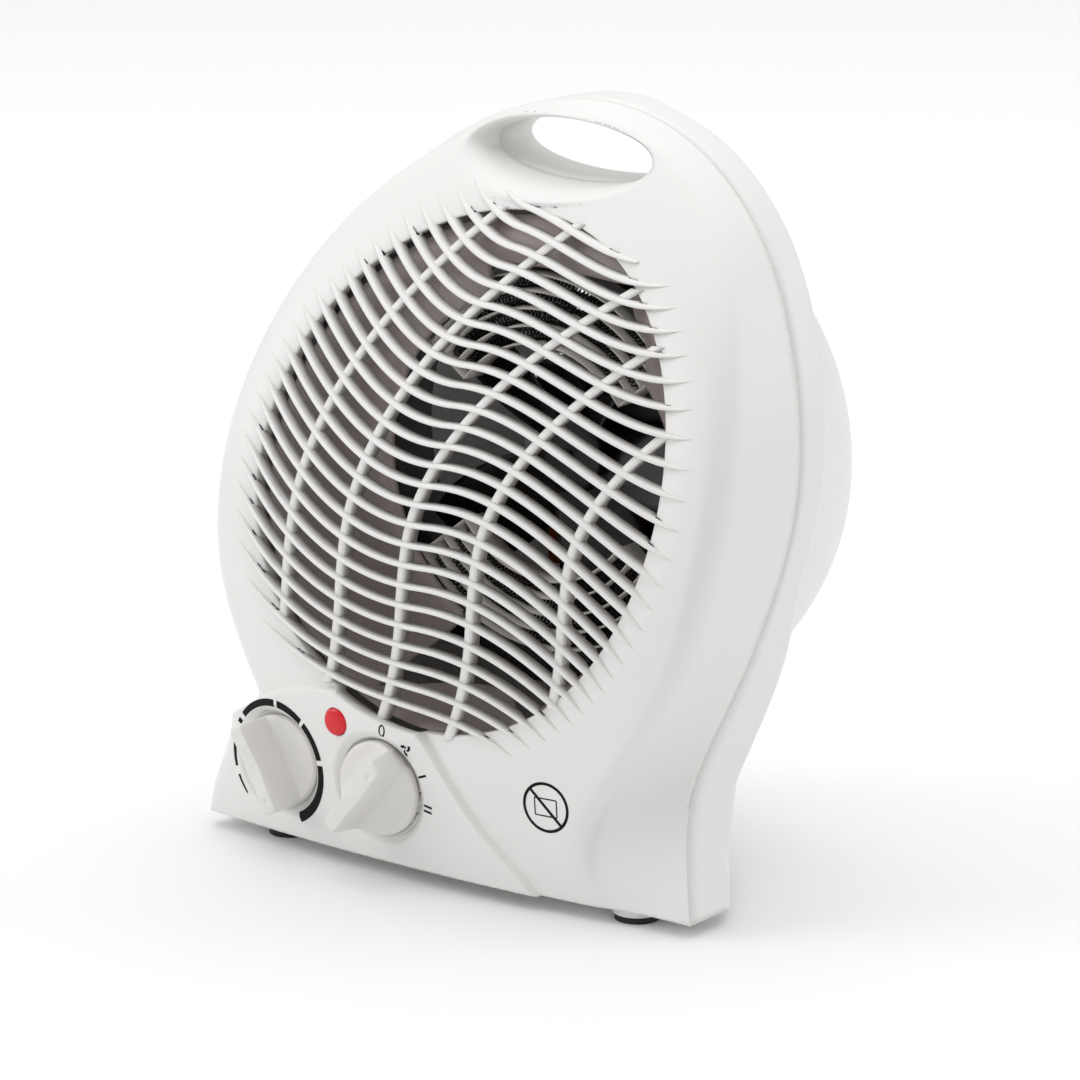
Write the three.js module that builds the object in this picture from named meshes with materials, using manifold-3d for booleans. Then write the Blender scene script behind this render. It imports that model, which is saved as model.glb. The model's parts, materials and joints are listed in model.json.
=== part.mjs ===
// Table-top fan heater: two moulded casing halves round a drum, a louvred outlet window in the front,
// two control knobs and a pilot light on a raised panel, a carrying handle through the top, and inside
// a funnel baffle, a mica-framed wire heating element, an axial fan and its shaded-pole motor.
// Millimetres. X to the right seen from the front, front faces -Y, Z up, floor at Z = 0.
import * as THREE from "three";
import { mergeVertices } from "three/addons/utils/BufferGeometryUtils.js";
import Module from "manifold-3d";

const wasm = await Module();
wasm.setup();

// ---------------------------------------------------------------- driving dimensions
const BASE_Z = 5; // underside of the casing; the feet reach down to the floor
const WALL = 2.6; // moulded wall
const GAP = 0.3; // working gap between separate pieces
// Half of the casing's outline seen from the front: [half width, height].
const OUTLINE = [
  [103, 5], [98, 20], [93.5, 42], [99.5, 75], [105, 103], [107.8, 126], [105.8, 158],
  [97, 187], [81.3, 214], [54.5, 238], [28, 250], [0, 254],
];
const OUTLINE_CENTRE_Z = 130;
// Parting line between the halves, and the front face on the centre line: [height, y].
const SEAM = [[5, -49.9], [50, -33.8], [110, -8], [180, 10], [254, 34]];
const FACE = [[5, -57], [50, -62.5], [100, -63.5], [150, -49.7], [200, -21], [250, 22.5]];
const FACE_RADIUS_BASE = 780; // the face bends back sideways on a large radius at the foot
const FACE_RADIUS = 400; // and on a tighter one above it
const FLANK_TOP = 3.5; // width of the flank between parting line and bulge, upper casing
const FLANK_FOOT = 28; // and how much it widens towards the foot
const FLANK_DEPTH = 0.75; // share of the depth taken by the flank
const BULGE = 11; // width over which the bulge rolls into the face

const FAN_Z = 134; // axis of the drum, the fan and the motor
const DRUM = { radius: 97.5, front: 9.5, back: 77, shoulder: 0.3 };
// Depth of the rear half's rim behind the parting line: [height, depth].
const RIM_DEPTH = [[5, 22.5], [40, 25], [65, 27.5], [85, 24], [105, 17], [130, 15.5], [254, 16]];
const TAIL = { depth: 72, low: 40, high: 150, rest: 5, power: 1.8 }; // the skirt behind the foot

const WINDOW = { z: 138, radius: 83.3 };
const SLATS = { count: 26, top: 221.8, pitch: 5.72, growth: 0.0267, thick: 1.4, depth: 4.5 };
const SLAT_TIP = 9; // ridge each slat leaves on the face beyond the window
const SLAT_RAISE = 0.7;
const RIB_WIDTH = 2.8;
// Cross ribs behind the slats: [x below the middle, sweep of the upper end].
const RIBS = [[-62, 0.0044], [-36, 0.0052], [-8.5, 0.0078], [21, 0.0088], [56, 0.0105]];

const HANDLE = { z: 238.3, halfWidth: 37, halfHeight: 10, wall: 2.4 };
const PANEL_RAISE = 2.5;
const PANEL_ROUND = 1.3;
const PANEL_CENTRE = { x: -35, z: 30 };
// Upper edge of the raised control panel, from its right foot to the left flank: [x, z].
const PANEL_EDGE = [
  [48, 5], [40, 11.5], [30, 20.5], [20, 31], [11, 43], [3, 53.5], [-8, 60.5], [-22, 63.5],
  [-38, 63.5], [-55, 60.5], [-72, 54.2], [-86, 46.5], [-93, 41.5],
];
const KNOB = { radius: 16.3, well: 17.4, grip: 8.6, bar: 13.2 };
const THERMOSTAT = { x: -65, z: 31.5, floor: -57, front: -72.5, pointer: 150 };
const SELECTOR = { x: -17.7, z: 32, floor: -60.3, front: -77, pointer: 40 };
const SHAFT_RADIUS = 3;
const PILOT = { x: -35, z: 52.3, radius: 4.7 };

const FEET = [[75, -41.2], [-75, -41.2], [42, 20], [-42, 20]];
const FOOT_RADIUS = 8.3;
const PAD_HEIGHT = 2;
const BOSSES = [[88, 60], [-88, 60], [76, 196], [-76, 196]];
const SCREW_BITE = 6; // thread held in the front half's bosses
const CORD = { x: 0, z: 20, bore: 3, neck: 4 };

const BAFFLE = { z: 136, radius: 83, stand: 9, plane: -2, funnel: 66, thick: 1.6, opening: 61 };
const ELEMENT = {
  front: 3, back: 13, rows: [44, 50, 56, 62], row: 3.2, cards: [40.7, 46.7, 52.7, 58.7, 64.7], card: 0.7,
};
const ELEMENT_SWEEP = 50; // each bank of wire reaches this far either side of the vertical
const DUCT = { radius: 71, front: 0, back: 32, flange: 75.5 };
const FAN = { front: 18, back: 30, hub: 14, radius: 66, blades: 5, pitch: 38 };
const MOTOR = { front: 38, back: 54, half: 29, bore: 13, rotor: 12.6, shaft: 2 };

// ---------------------------------------------------------------- curves and surfaces
// Natural cubic spline through [t, v] pairs.
function spline(pairs) {
  const t = pairs.map((p) => p[0]);
  const v = pairs.map((p) => p[1]);
  const n = t.length;
  const m = new Array(n).fill(0);
  const c = new Array(n).fill(0);
  const d = new Array(n).fill(0);
  for (let i = 1; i < n - 1; i++) {
    const a = t[i] - t[i - 1];
    const b = t[i + 1] - t[i];
    const w = 2 * (a + b) - a * c[i - 1];
    c[i] = b / w;
    d[i] = (6 * ((v[i + 1] - v[i]) / b - (v[i] - v[i - 1]) / a) - a * d[i - 1]) / w;
  }
  for (let i = n - 2; i > 0; i--) m[i] = d[i] - c[i] * m[i + 1];
  return (q) => {
    let i = 0;
    while (i < n - 2 && q > t[i + 1]) i++;
    const h = t[i + 1] - t[i];
    const a = (t[i + 1] - q) / h;
    const b = (q - t[i]) / h;
    return a * v[i] + b * v[i + 1] + (((a ** 3 - a) * m[i] + (b ** 3 - b) * m[i + 1]) * h * h) / 6;
  };
}

function smooth(from, to, v) {
  const t = Math.min(1, Math.max(0, (v - from) / (to - from)));
  return t * t * (3 - 2 * t);
}

const seamY = spline(SEAM);
const faceLine = spline(FACE);
const rimDepth = spline(RIM_DEPTH);

// The open part of the outline, from the right foot over the top to the left foot.
function arch(count) {
  const half = OUTLINE.map(([x, z]) => [x, z]);
  const all = half.concat(half.slice(0, -1).reverse().map(([x, z]) => [-x, z]));
  const run = [0];
  for (let i = 1; i < all.length; i++) {
    run.push(run[i - 1] + Math.hypot(all[i][0] - all[i - 1][0], all[i][1] - all[i - 1][1]));
  }
  const sx = spline(all.map((p, i) => [run[i], p[0]]));
  const sz = spline(all.map((p, i) => [run[i], p[1]]));
  const end = run[run.length - 1];
  return Array.from({ length: count + 1 }, (_, i) => [sx((end * i) / count), sz((end * i) / count)]);
}

// Radius of the outline about the middle of the foot, for a direction at angle a from +X.
const POLAR = arch(400).map(([x, z]) => [Math.atan2(z - BASE_Z, x), Math.hypot(x, z - BASE_Z)]);
function outlineRadius(a) {
  let i = 0;
  while (i < POLAR.length - 2 && a > POLAR[i + 1][0]) i++;
  const [a0, r0] = POLAR[i];
  const [a1, r1] = POLAR[i + 1];
  return r0 + ((r1 - r0) * (a - a0)) / (a1 - a0);
}

// Half width of the outline at a height.
function halfWidth(z) {
  const rows = OUTLINE.map(([x, h]) => [h, x]);
  let i = 0;
  while (i < rows.length - 2 && z > rows[i + 1][0]) i++;
  const t = (z - rows[i][0]) / (rows[i + 1][0] - rows[i][0]);
  return Math.max(20, rows[i][1] + (rows[i + 1][1] - rows[i][1]) * t);
}

function faceY(x, z) {
  const k = smooth(8, 70, z);
  return faceLine(z) + ((x * x) / 2) * ((1 - k) / FACE_RADIUS_BASE + k / FACE_RADIUS);
}

function flankWidth(x, z) {
  const edge = outlineRadius(Math.atan2(z - BASE_Z, x));
  return Math.min(FLANK_TOP + FLANK_FOOT * (1 - smooth(12, 105, z)), 0.5 * edge);
}

// Front half as one height over (x, z): flank from the parting line, bulge, then the face.
function frontY(x, z) {
  const a = Math.atan2(z - BASE_Z, x);
  const r = Math.hypot(x, z - BASE_Z);
  const edge = outlineRadius(a);
  const inset = Math.max(0, edge - r);
  const flank = flankWidth(x, z);
  if (inset >= flank + BULGE) return faceY(x, z);
  const seam = seamY(z);
  const crease = seam + FLANK_DEPTH * (faceY(x, z) - seam);
  if (inset < flank) return seam + (crease - seam) * (inset / flank) ** 0.9;
  const t = 1 - (inset - flank) / BULGE;
  return crease + (faceY(x, z) - crease) * Math.sqrt(Math.max(0, 1 - t * t));
}

// Rear half: a shallow wall behind the parting line, then the skirt that grows towards the foot.
function rearY(x, z) {
  const share = Math.min(1, Math.abs(x) / halfWidth(z));
  const tail = TAIL.depth * (1 - smooth(TAIL.low, TAIL.high, z)) + TAIL.rest;
  return seamY(z) + rimDepth(z) + tail * (1 - share ** TAIL.power);
}

// ---------------------------------------------------------------- solids
function solid(geometry) {
  const bare = geometry.index ? geometry.toNonIndexed() : geometry.clone();
  const shape = new THREE.BufferGeometry().setAttribute("position", bare.getAttribute("position"));
  const merged = mergeVertices(shape, 1e-4);
  const source = merged.index.array;
  const triVerts = [];
  for (let i = 0; i < source.length; i += 3) {
    const [a, b, c] = [source[i], source[i + 1], source[i + 2]];
    if (a !== b && b !== c && c !== a) triVerts.push(a, b, c);
  }
  const make = (tris) =>
    new wasm.Manifold(
      new wasm.Mesh({
        numProp: 3,
        vertProperties: merged.attributes.position.array,
        triVerts: new Uint32Array(tris),
      }),
    );
  const made = make(triVerts);
  if (made.volume() > 0) return made;
  for (let i = 0; i < triVerts.length; i += 3) {
    [triVerts[i + 1], triVerts[i + 2]] = [triVerts[i + 2], triVerts[i + 1]];
  }
  return make(triVerts);
}

// Closed skin over a list of rings with equal point counts, each end closed to a point.
function skin(rings, first, last) {
  const p = [];
  const tri = (a, b, c) => p.push(...a, ...b, ...c);
  const n = rings[0].length;
  for (let i = 0; i < n; i++) {
    const j = (i + 1) % n;
    tri(first, rings[0][j], rings[0][i]);
    for (let k = 0; k < rings.length - 1; k++) {
      tri(rings[k][i], rings[k][j], rings[k + 1][i]);
      tri(rings[k][j], rings[k + 1][j], rings[k + 1][i]);
    }
    tri(last, rings[rings.length - 1][i], rings[rings.length - 1][j]);
  }
  return solid(new THREE.BufferGeometry().setAttribute("position", new THREE.Float32BufferAttribute(p, 3)));
}

function middle(ring) {
  return [0, 1, 2].map((k) => ring.reduce((sum, q) => sum + q[k], 0) / ring.length);
}

function loft(rings) {
  return skin(rings, middle(rings[0]), middle(rings[rings.length - 1]));
}

// Profile [radius, y] turned about the Y axis through (x, z).
function turned(profile, x, z, segments = 32) {
  const points = profile.map(([r, y]) => new THREE.Vector2(r, y));
  return solid(new THREE.LatheGeometry(points, segments).translate(x, 0, z));
}

function rod(radius, y0, y1, x, z, segments = 32) {
  return turned([[0, y0], [radius, y0], [radius, y1], [0, y1]], x, z, segments);
}

function block(x0, x1, y0, y1, z0, z1) {
  return solid(
    new THREE.BoxGeometry(x1 - x0, y1 - y0, z1 - z0).translate((x0 + x1) / 2, (y0 + y1) / 2, (z0 + z1) / 2),
  );
}

// Outline [x, z] carried from y0 to y1.
function prism(outline, y0, y1) {
  return loft([outline.map(([x, z]) => [x, y0, z]), outline.map(([x, z]) => [x, y1, z])]);
}

function union(list) {
  return list.reduce((a, b) => a.add(b));
}

const FLATNESS = 0.1; // facets closer to one plane than this become one

// The piece's one outer skin: a pocket closed inside a moulding is filled with plastic.
function outerSkin(body) {
  const largest = body.decompose().reduce((a, b) => (b.volume() > a.volume() ? b : a));
  return largest.simplify(FLATNESS);
}

// ---------------------------------------------------------------- casing
const ARCH_POINTS = 44;
const FOOT_POINTS = 12;

// The whole outline as a closed ring, foot included.
function closedOutline() {
  const top = arch(ARCH_POINTS);
  const foot = [];
  const half = OUTLINE[0][0];
  for (let i = 1; i < FOOT_POINTS; i++) foot.push([-half + (2 * half * i) / FOOT_POINTS, BASE_Z]);
  return top.concat(foot);
}

// The outline drawn in towards its centre by a distance.
function drawnIn(outline, distance) {
  return outline.map(([x, z]) => {
    const s = Math.max(0, 1 - distance / Math.hypot(x, z - OUTLINE_CENTRE_Z));
    return [x * s, OUTLINE_CENTRE_Z + (z - OUTLINE_CENTRE_Z) * s];
  });
}

function shrunk(outline, wall) {
  const sx = 1 - wall / 104;
  const sz = 1 - wall / 124.5;
  return outline.map(([x, z]) => [x * sx, OUTLINE_CENTRE_Z + (z - OUTLINE_CENTRE_Z) * sz]);
}

// Share of the way from the bulge's inner edge to the centre, for the rings on the open face.
const FACE_RINGS = [0.22, 0.5, 0.78];
const REAR_STEPS = [0, 0.8, 3, 12, 24, 38, 54, 72, 95];

// Distance from the outline, along the ray to its centre, at which the front has come a given
// way over its flank (0 to 1) and its bulge (1 to 2).
function frontStep(point, way) {
  const reach = Math.hypot(point[0], point[1] - OUTLINE_CENTRE_Z);
  let low = 0;
  let high = reach * 0.6;
  for (let i = 0; i < 18; i++) {
    const d = (low + high) / 2;
    const [[x, z]] = drawnIn([point], d);
    const inset = outlineRadius(Math.atan2(z - BASE_Z, x)) - Math.hypot(x, z - BASE_Z);
    const flank = flankWidth(x, z);
    const here = inset < flank ? inset / flank : 1 + (inset - flank) / BULGE;
    if (here < way) low = d;
    else high = d;
  }
  return low < 0.02 ? 0 : low;
}

function frontRings(outline, ways) {
  const rings = [outline];
  for (const way of ways) rings.push(outline.map((p) => drawnIn([p], frontStep(p, way))[0]));
  const last = rings[rings.length - 1];
  for (const share of FACE_RINGS) {
    rings.push(last.map(([x, z]) => [x * (1 - share), z + (OUTLINE_CENTRE_Z - z) * share]));
  }
  return rings;
}

// Filled half casing between the parting line (or a plane at y = reach) and a height function.
function halfSolid(rings, height, seamShift, offset, reach) {
  const outline = rings[0];
  const back = (x, z) => reach ?? seamY(z) + seamShift;
  const all = [70, 30].map((d) => drawnIn(outline, d).map(([x, z]) => [x, back(x, z), z]));
  all.push(outline.map(([x, z]) => [x, back(x, z), z]));
  for (const ring of rings) all.push(ring.map(([x, z]) => [x, height(x, z) + offset, z]));
  const z = OUTLINE_CENTRE_Z;
  return skin(all, [0, back(0, z), z], [0, height(0, z) + offset, z]);
}

function wallY(x, z) {
  return Math.min(frontY(x, z), seamY(z) - 1);
}

function ellipse(cx, cz, rx, rz, count = 40) {
  return Array.from({ length: count }, (_, i) => {
    const a = (2 * Math.PI * i) / count;
    return [cx + rx * Math.cos(a), cz + rz * Math.sin(a), a];
  });
}

// The finger opening: flared where it meets the front face, straight through to the back.
function handleBore(grow) {
  const { z, halfWidth, halfHeight } = HANDLE;
  const flare = [[6, -3], [3.6, 0.4], [1.7, 2.4], [0.5, 5], [0, 9]];
  const ring = (spread, depth) =>
    ellipse(0, z, halfWidth, halfHeight).map(([x, h, a]) => {
      const e = grow + spread * (0.5 - 0.42 * Math.sin(a));
      const px = x + e * Math.cos(a);
      const pz = h + e * Math.sin(a);
      return [px, depth(px, pz), pz];
    });
  const rings = [ring(6, () => -60)];
  for (const [spread, depth] of flare) rings.push(ring(spread, (x, h) => faceY(x, h) + depth));
  rings.push(ring(0, () => 49));
  rings.push(ring(3, () => 53));
  rings.push(ring(3, () => 90));
  return loft(rings);
}

function handleWall(casing) {
  const { z, halfWidth, halfHeight, wall } = HANDLE;
  return prism(ellipse(0, z, halfWidth + wall + 3, halfHeight + wall), -40, 90).intersect(casing);
}

function panelOutline() {
  const edge = new THREE.CatmullRomCurve3(PANEL_EDGE.map(([x, z]) => new THREE.Vector3(x, 0, z)));
  const points = edge.getPoints(30).map((p) => [p.x, Math.max(BASE_Z, p.z)]);
  const side = arch(ARCH_POINTS * 2).filter(([x, z]) => x < 0 && z < 41);
  const foot = [];
  for (let x = -88; x < 45; x += 14) foot.push([x, BASE_Z]);
  return points.concat(side, foot);
}

// How far the panel's surface falls back at its border: a small round, but a broad roll at the
// left flank that grows towards its top corner.
function panelRoll(x, z) {
  const share = 1 - smooth(-91, -76, x);
  return PANEL_ROUND + share * (1 + 9.3 * smooth(14, 44, z));
}

// The control panel: the face carried on to the left flank and raised, with a soft edge.
function panel() {
  const outline = panelOutline();
  const { x: cx, z: cz } = PANEL_CENTRE;
  const inset = (d) =>
    outline.map(([x, z]) => {
      const s = 1 - d / Math.hypot(x - cx, z - cz);
      return [cx + (x - cx) * s, cz + (z - cz) * s];
    });
  const low = inset(0).map(([x, z]) => [x, faceY(x, z) - PANEL_RAISE + panelRoll(x, z), z]);
  const falls = [[PANEL_ROUND, 0.42], [4, 0.12], [8, 0], [18, 0]];
  const back = inset(0).map(([x, z]) => [x, Math.min(wallY(x, z) + 1.2, seamY(z) - 0.6), z]);
  const rings = [
    inset(18).map(([x, z]) => [x, wallY(x, z) + 1.2, z]),
    inset(8).map(([x, z]) => [x, Math.min(wallY(x, z) + 1.2, seamY(z) - 0.6), z]),
    back,
    low,
  ];
  for (const [d, share] of falls) {
    const fall = (x, z) => share * (panelRoll(x, z) - PANEL_ROUND);
    rings.push(inset(d).map(([x, z]) => [x, faceY(x, z) - PANEL_RAISE + fall(x, z), z]));
  }
  return skin(rings, [cx, wallY(cx, cz) + 1.2, cz], [cx, faceY(cx, cz) - PANEL_RAISE, cz]);
}

// Room behind the panel for the controls, leaving the panel as a moulded wall.
function panelRoom() {
  const outline = panelOutline().filter((p, i) => i % 2 === 0);
  const { x: cx, z: cz } = PANEL_CENTRE;
  const inner = (d) => {
    return outline.map(([x, z]) => {
      const s = 1 - d / Math.hypot(x - cx, z - cz);
      return [cx + (x - cx) * s, Math.max(BASE_Z + WALL, cz + (z - cz) * s)];
    });
  };
  const front = (d) => inner(d).map(([x, z]) => [x, faceY(x, z) - PANEL_RAISE + WALL, z]);
  const back = inner(5).map(([x, z]) => [x, 10, z]);
  return skin([back, front(5), front(14)], [cx, 10, cz], [cx, faceY(cx, cz) - PANEL_RAISE + WALL, cz]);
}

// Height of slat n's lower edge: a gentle S that falls steeply at the left and again at the right.
function slatZ(n, x) {
  const middleZ = SLATS.top - SLATS.pitch * n - SLATS.growth * n * n;
  const u = (middleZ - WINDOW.z) / WINDOW.radius;
  const slope = 0.076 - 0.022 * u - 0.211 * u * u;
  const left = 0.0078 + 0.0062 * u - 0.0024 * u * u;
  const right = 0.0077 + 0.0015 * u - 0.0036 * u * u;
  const twist = 0.000026 + 0.000061 * u;
  return middleZ + slope * x + (x < 0 ? left : -right) * x * x + twist * x ** 3;
}

function windowDistance(x, z) {
  return Math.hypot(x, z - WINDOW.z) - WINDOW.radius;
}

const SLAT_STEPS = 7;

// One slat as a strip that follows the face, its two ends fading into the face as ridges.
function slat(n) {
  const on = [];
  for (let x = -100; x <= 100; x += 0.5) if (windowDistance(x, slatZ(n, x)) < SLAT_TIP) on.push(x);
  if (on.length < 20) return null;
  const [x0, x1] = [on[0], on[on.length - 1]];
  const rings = [];
  for (let i = 0; i <= SLAT_STEPS; i++) {
    const x = x0 + ((x1 - x0) * i) / SLAT_STEPS;
    const z = slatZ(n, x);
    const slope = slatZ(n, x + 0.5) - slatZ(n, x - 0.5);
    const tip = Math.max(0, windowDistance(x, z) / SLAT_TIP);
    const high = SLATS.thick * Math.hypot(1, slope) * (1 - 0.6 * tip);
    const raise = SLAT_RAISE * (1 - tip) - 0.5 * tip;
    const deep = tip > 0 ? 1.6 : SLATS.depth;
    rings.push([
      [x, faceY(x, z) - raise, z],
      [x, faceY(x, z) + deep, z + 0.15],
      [x, faceY(x, z + high) + deep, z + high - 0.15],
      [x, faceY(x, z + high) - raise, z + high],
    ]);
  }
  return loft(rings);
}

function ribX([low, sweep], z) {
  return low + sweep * Math.max(0, z - 115) ** 2 - 0.006 * Math.max(0, 95 - z) ** 2;
}

function rib(spec) {
  const on = [];
  for (let z = 40; z <= 235; z += 0.5) if (windowDistance(ribX(spec, z), z) < 1.5) on.push(z);
  const [z0, z1] = [on[0], on[on.length - 1]];
  const rings = [];
  const steps = 5;
  for (let i = 0; i <= steps; i++) {
    const z = z0 + ((z1 - z0) * i) / steps;
    const x = ribX(spec, z);
    const wide = (RIB_WIDTH / 2) * Math.hypot(1, ribX(spec, z + 0.5) - ribX(spec, z - 0.5));
    rings.push([
      [x - wide, faceY(x, z) + 1.2, z],
      [x + wide, faceY(x, z) + 1.2, z],
      [x + wide, faceY(x, z) + 6, z],
      [x - wide, faceY(x, z) + 6, z],
    ]);
  }
  return loft(rings);
}

function frontCasing() {
  const outline = closedOutline();
  const filled = halfSolid(frontRings(outline, [0.5, 1, 1.12, 1.4, 2]), frontY, -GAP / 2, 0);
  const inner = frontRings(shrunk(outline, WALL), [0.5, 1, 1.4, 2]);
  const hollow = halfSolid(inner, wallY, 0, WALL, 120);
  const outlet = rod(WINDOW.radius, -80, 24, 0, WINDOW.z, 44);
  const raised = panel();
  const bosses = BOSSES.map(([x, z]) => rod(3.6, frontY(x, z) + 1, seamY(z) - 1, x, z, 16).intersect(filled));
  let body = filled.subtract(hollow).subtract(outlet);
  const louvre = [];
  for (let n = 0; n < SLATS.count; n++) {
    const s = slat(n);
    if (s) louvre.push(s);
  }
  for (const spec of RIBS) louvre.push(rib(spec));
  body = union([body.add(raised).subtract(panelRoom()), ...louvre, handleWall(filled), ...bosses]);
  for (const { x, z, floor } of [THERMOSTAT, SELECTOR]) {
    body = body.add(rod(KNOB.well + 1.8, faceY(x, z) - 0.5, floor + 2, x, z, 40));
    body = body.subtract(rod(KNOB.well, -95, floor, x, z, 40));
    body = body.subtract(rod(SHAFT_RADIUS + 0.5, -95, -40, x, z, 20));
  }
  body = body.subtract(rod(PILOT.radius + GAP, -95, -40, PILOT.x, PILOT.z, 24));
  for (const [x, z] of BOSSES) {
    body = body.subtract(rod(1.6, seamY(z) - SCREW_BITE - 1, seamY(z) + 5, x, z, 12));
  }
  return outerSkin(body.subtract(handleBore(0)));
}

function drum(shrink) {
  const { radius, front, back, shoulder } = DRUM;
  const profile = [[0, front - 4], [radius - shrink, front - 4], [radius - shrink, front]];
  for (let i = 1; i <= 6; i++) {
    const a = (Math.PI / 2) * (i / 6);
    const r = (radius - shrink) * (1 - shoulder * (1 - Math.cos(a)));
    profile.push([r, front + (back - shrink - front) * Math.sin(a)]);
  }
  profile.push([0, back - shrink]);
  return turned(profile, 0, FAN_Z, 48);
}

// Air intake in the back of the drum: rows of slots between two upright bars.
function intake() {
  const disc = rod(60, 60, 90, 0, FAN_Z, 48);
  const slots = [];
  for (let i = -6; i <= 6; i++) {
    const z = FAN_Z + i * 8.6;
    for (const [x0, x1] of [[-60, -22], [-18, 18], [22, 60]]) {
      slots.push(block(x0, x1, 60, 90, z - 1.7, z + 1.7));
    }
  }
  return union(slots).intersect(disc).subtract(motorPosts(1.2));
}

const POST_X = 24;
function motorPosts(grow) {
  const post = (x) => rod(4 + grow, MOTOR.back + 4 + GAP, DRUM.back - 1, x, FAN_Z, 16);
  return union([-POST_X, POST_X].map(post));
}

function rearCasing() {
  const outline = closedOutline();
  const rim = (x, z) => {
    const d = Math.max(0, outlineRadius(Math.atan2(z - BASE_Z, x)) - Math.hypot(x, z - BASE_Z));
    const soft = 2.6 * (1 - Math.sqrt(1 - (1 - Math.min(1, d / 3)) ** 2));
    return rearY(x, z) - soft;
  };
  const rings = REAR_STEPS.map((d) => drawnIn(outline, d));
  const inside = shrunk(outline, WALL);
  const innerRings = REAR_STEPS.filter((d) => d !== 0.8).map((d) => drawnIn(inside, d));
  const filled = halfSolid(rings, rim, GAP / 2, 0);
  const hollow = halfSolid(innerRings, rearY, 0, -WALL, -120);
  const tubes = BOSSES.map(([x, z]) => rod(4.6, seamY(z) + 0.4, rearY(x, z) - 1, x, z, 16).intersect(filled));
  let body = filled.add(drum(0)).subtract(hollow).subtract(drum(WALL));
  const opened = union([body, handleWall(filled), motorPosts(0), ...tubes]);
  body = opened.subtract(intake()).subtract(handleBore(0));
  for (const [x, z] of BOSSES) {
    body = body.subtract(rod(1.9, seamY(z) - 5, 80, x, z, 12));
    body = body.subtract(rod(3.5, seamY(z) + 6, 80, x, z, 16));
  }
  for (const [x, y] of FEET) body = body.add(upright(FOOT_RADIUS, PAD_HEIGHT + GAP, BASE_Z + 1.5, x, y, 24));
  const seat = rearY(CORD.x, CORD.z) - 1;
  body = body.add(rod(9.5, seat - 5, seat, CORD.x, CORD.z, 24));
  body = body.subtract(rod(7.4, seat, 90, CORD.x, CORD.z, 24));
  return outerSkin(body.subtract(rod(CORD.neck + GAP, 30, 90, CORD.x, CORD.z, 20)));
}

// Cylinder standing on the XY plane.
function upright(radius, z0, z1, x, y, segments = 24) {
  const g = new THREE.CylinderGeometry(radius, radius, z1 - z0, segments);
  return solid(g.rotateX(Math.PI / 2).translate(x, y, (z0 + z1) / 2));
}

// ---------------------------------------------------------------- controls
// A disc with a tapered grip bar across it; the pointer end is marked by a small dimple.
function knob({ x, z, floor, front, pointer }) {
  const skirt = floor - 0.6;
  const disc = front + KNOB.bar;
  const body = turned(
    [
      [0, skirt], [KNOB.radius, skirt], [KNOB.radius - 0.4, disc + 1.2],
      [KNOB.radius - 1.8, disc], [0, disc - 0.4],
    ],
    0, 0, 36,
  );
  const half = KNOB.grip / 2;
  const wide = (w, l) => [[-w, l], [w, l], [w * 0.72, -l], [-w * 0.72, -l]];
  const bar = loft([
    wide(half + 1.2, KNOB.radius - 0.4).map(([a, b]) => [a, disc + 1, b]),
    wide(half, KNOB.radius - 0.8).map(([a, b]) => [a, front + 1.2, b]),
    wide(half - 1, KNOB.radius - 2).map(([a, b]) => [a, front, b]),
  ]);
  const bore = rod(SHAFT_RADIUS + 0.15, skirt - 9, skirt + 1, 0, 0, 20);
  const dimple = rod(0.9, front - 1, front + 0.5, 0, KNOB.radius - 5, 12);
  return body.add(bar).subtract(bore).subtract(dimple).rotate([0, pointer, 0]).translate([x, 0, z]);
}

function controlShaft({ x, z, floor }, back) {
  return rod(SHAFT_RADIUS, floor - 8.5, back, x, z, 20);
}

function controlBody({ x, z }, y0, y1, half, socket) {
  const cup = rod(SHAFT_RADIUS + 0.3, y0 - 1, socket + GAP, x, z, 20);
  return block(x - half, x + half, y0, y1, z - half, z + half).subtract(cup);
}

function pilotLens() {
  const y = faceY(PILOT.x, PILOT.z) - PANEL_RAISE;
  const r = PILOT.radius;
  return turned([[0, y + 6], [r, y + 6], [r, y - 0.2], [r * 0.8, y - 1], [0, y - 1.4]], PILOT.x, PILOT.z, 24);
}

// ---------------------------------------------------------------- heating and air
// Funnel from behind the window to the plate round the element.
function baffle() {
  const at = (r, lift) =>
    ellipse(0, BAFFLE.z, r, r, 40).map(([x, z]) => {
      const k = smooth(BAFFLE.funnel, BAFFLE.radius, r);
      return [x, (faceY(x, z) + BAFFLE.stand) * k + BAFFLE.plane * (1 - k) + lift, z];
    });
  const radii = [83, 79, 74, 70, 66, 40];
  const rings = radii.slice().reverse().map((r) => at(r, BAFFLE.thick));
  for (const r of radii) rings.push(at(r, 0));
  const plate = skin(rings, [0, BAFFLE.plane + BAFFLE.thick, BAFFLE.z], [0, BAFFLE.plane, BAFFLE.z]);
  const openings = union([
    rod(BAFFLE.opening, -40, 20, 0, 131, 40),
    block(-18, 48, -8, 8, 170, 203),
    block(-30, 40, -8, 8, 62, 100),
  ]);
  return plate.subtract(openings);
}

// Short bars that join a bank's rows end to end. side is +1 above the fan axis, -1 below.
function coilLinks(side, grow) {
  const sweep = THREE.MathUtils.degToRad(ELEMENT_SWEEP);
  return ELEMENT.rows.slice(1).map((r, i) => {
    const a = side * (Math.PI / 2) + (i % 2 ? -1 : 1) * (sweep - 0.02);
    const link = block(r - 6 - grow, r + grow, 7 - grow, 9 + grow, -0.8 - grow, 0.8 + grow);
    return link.rotate([0, -THREE.MathUtils.radToDeg(a), 0]).translate([0, 0, FAN_Z]);
  });
}

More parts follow.
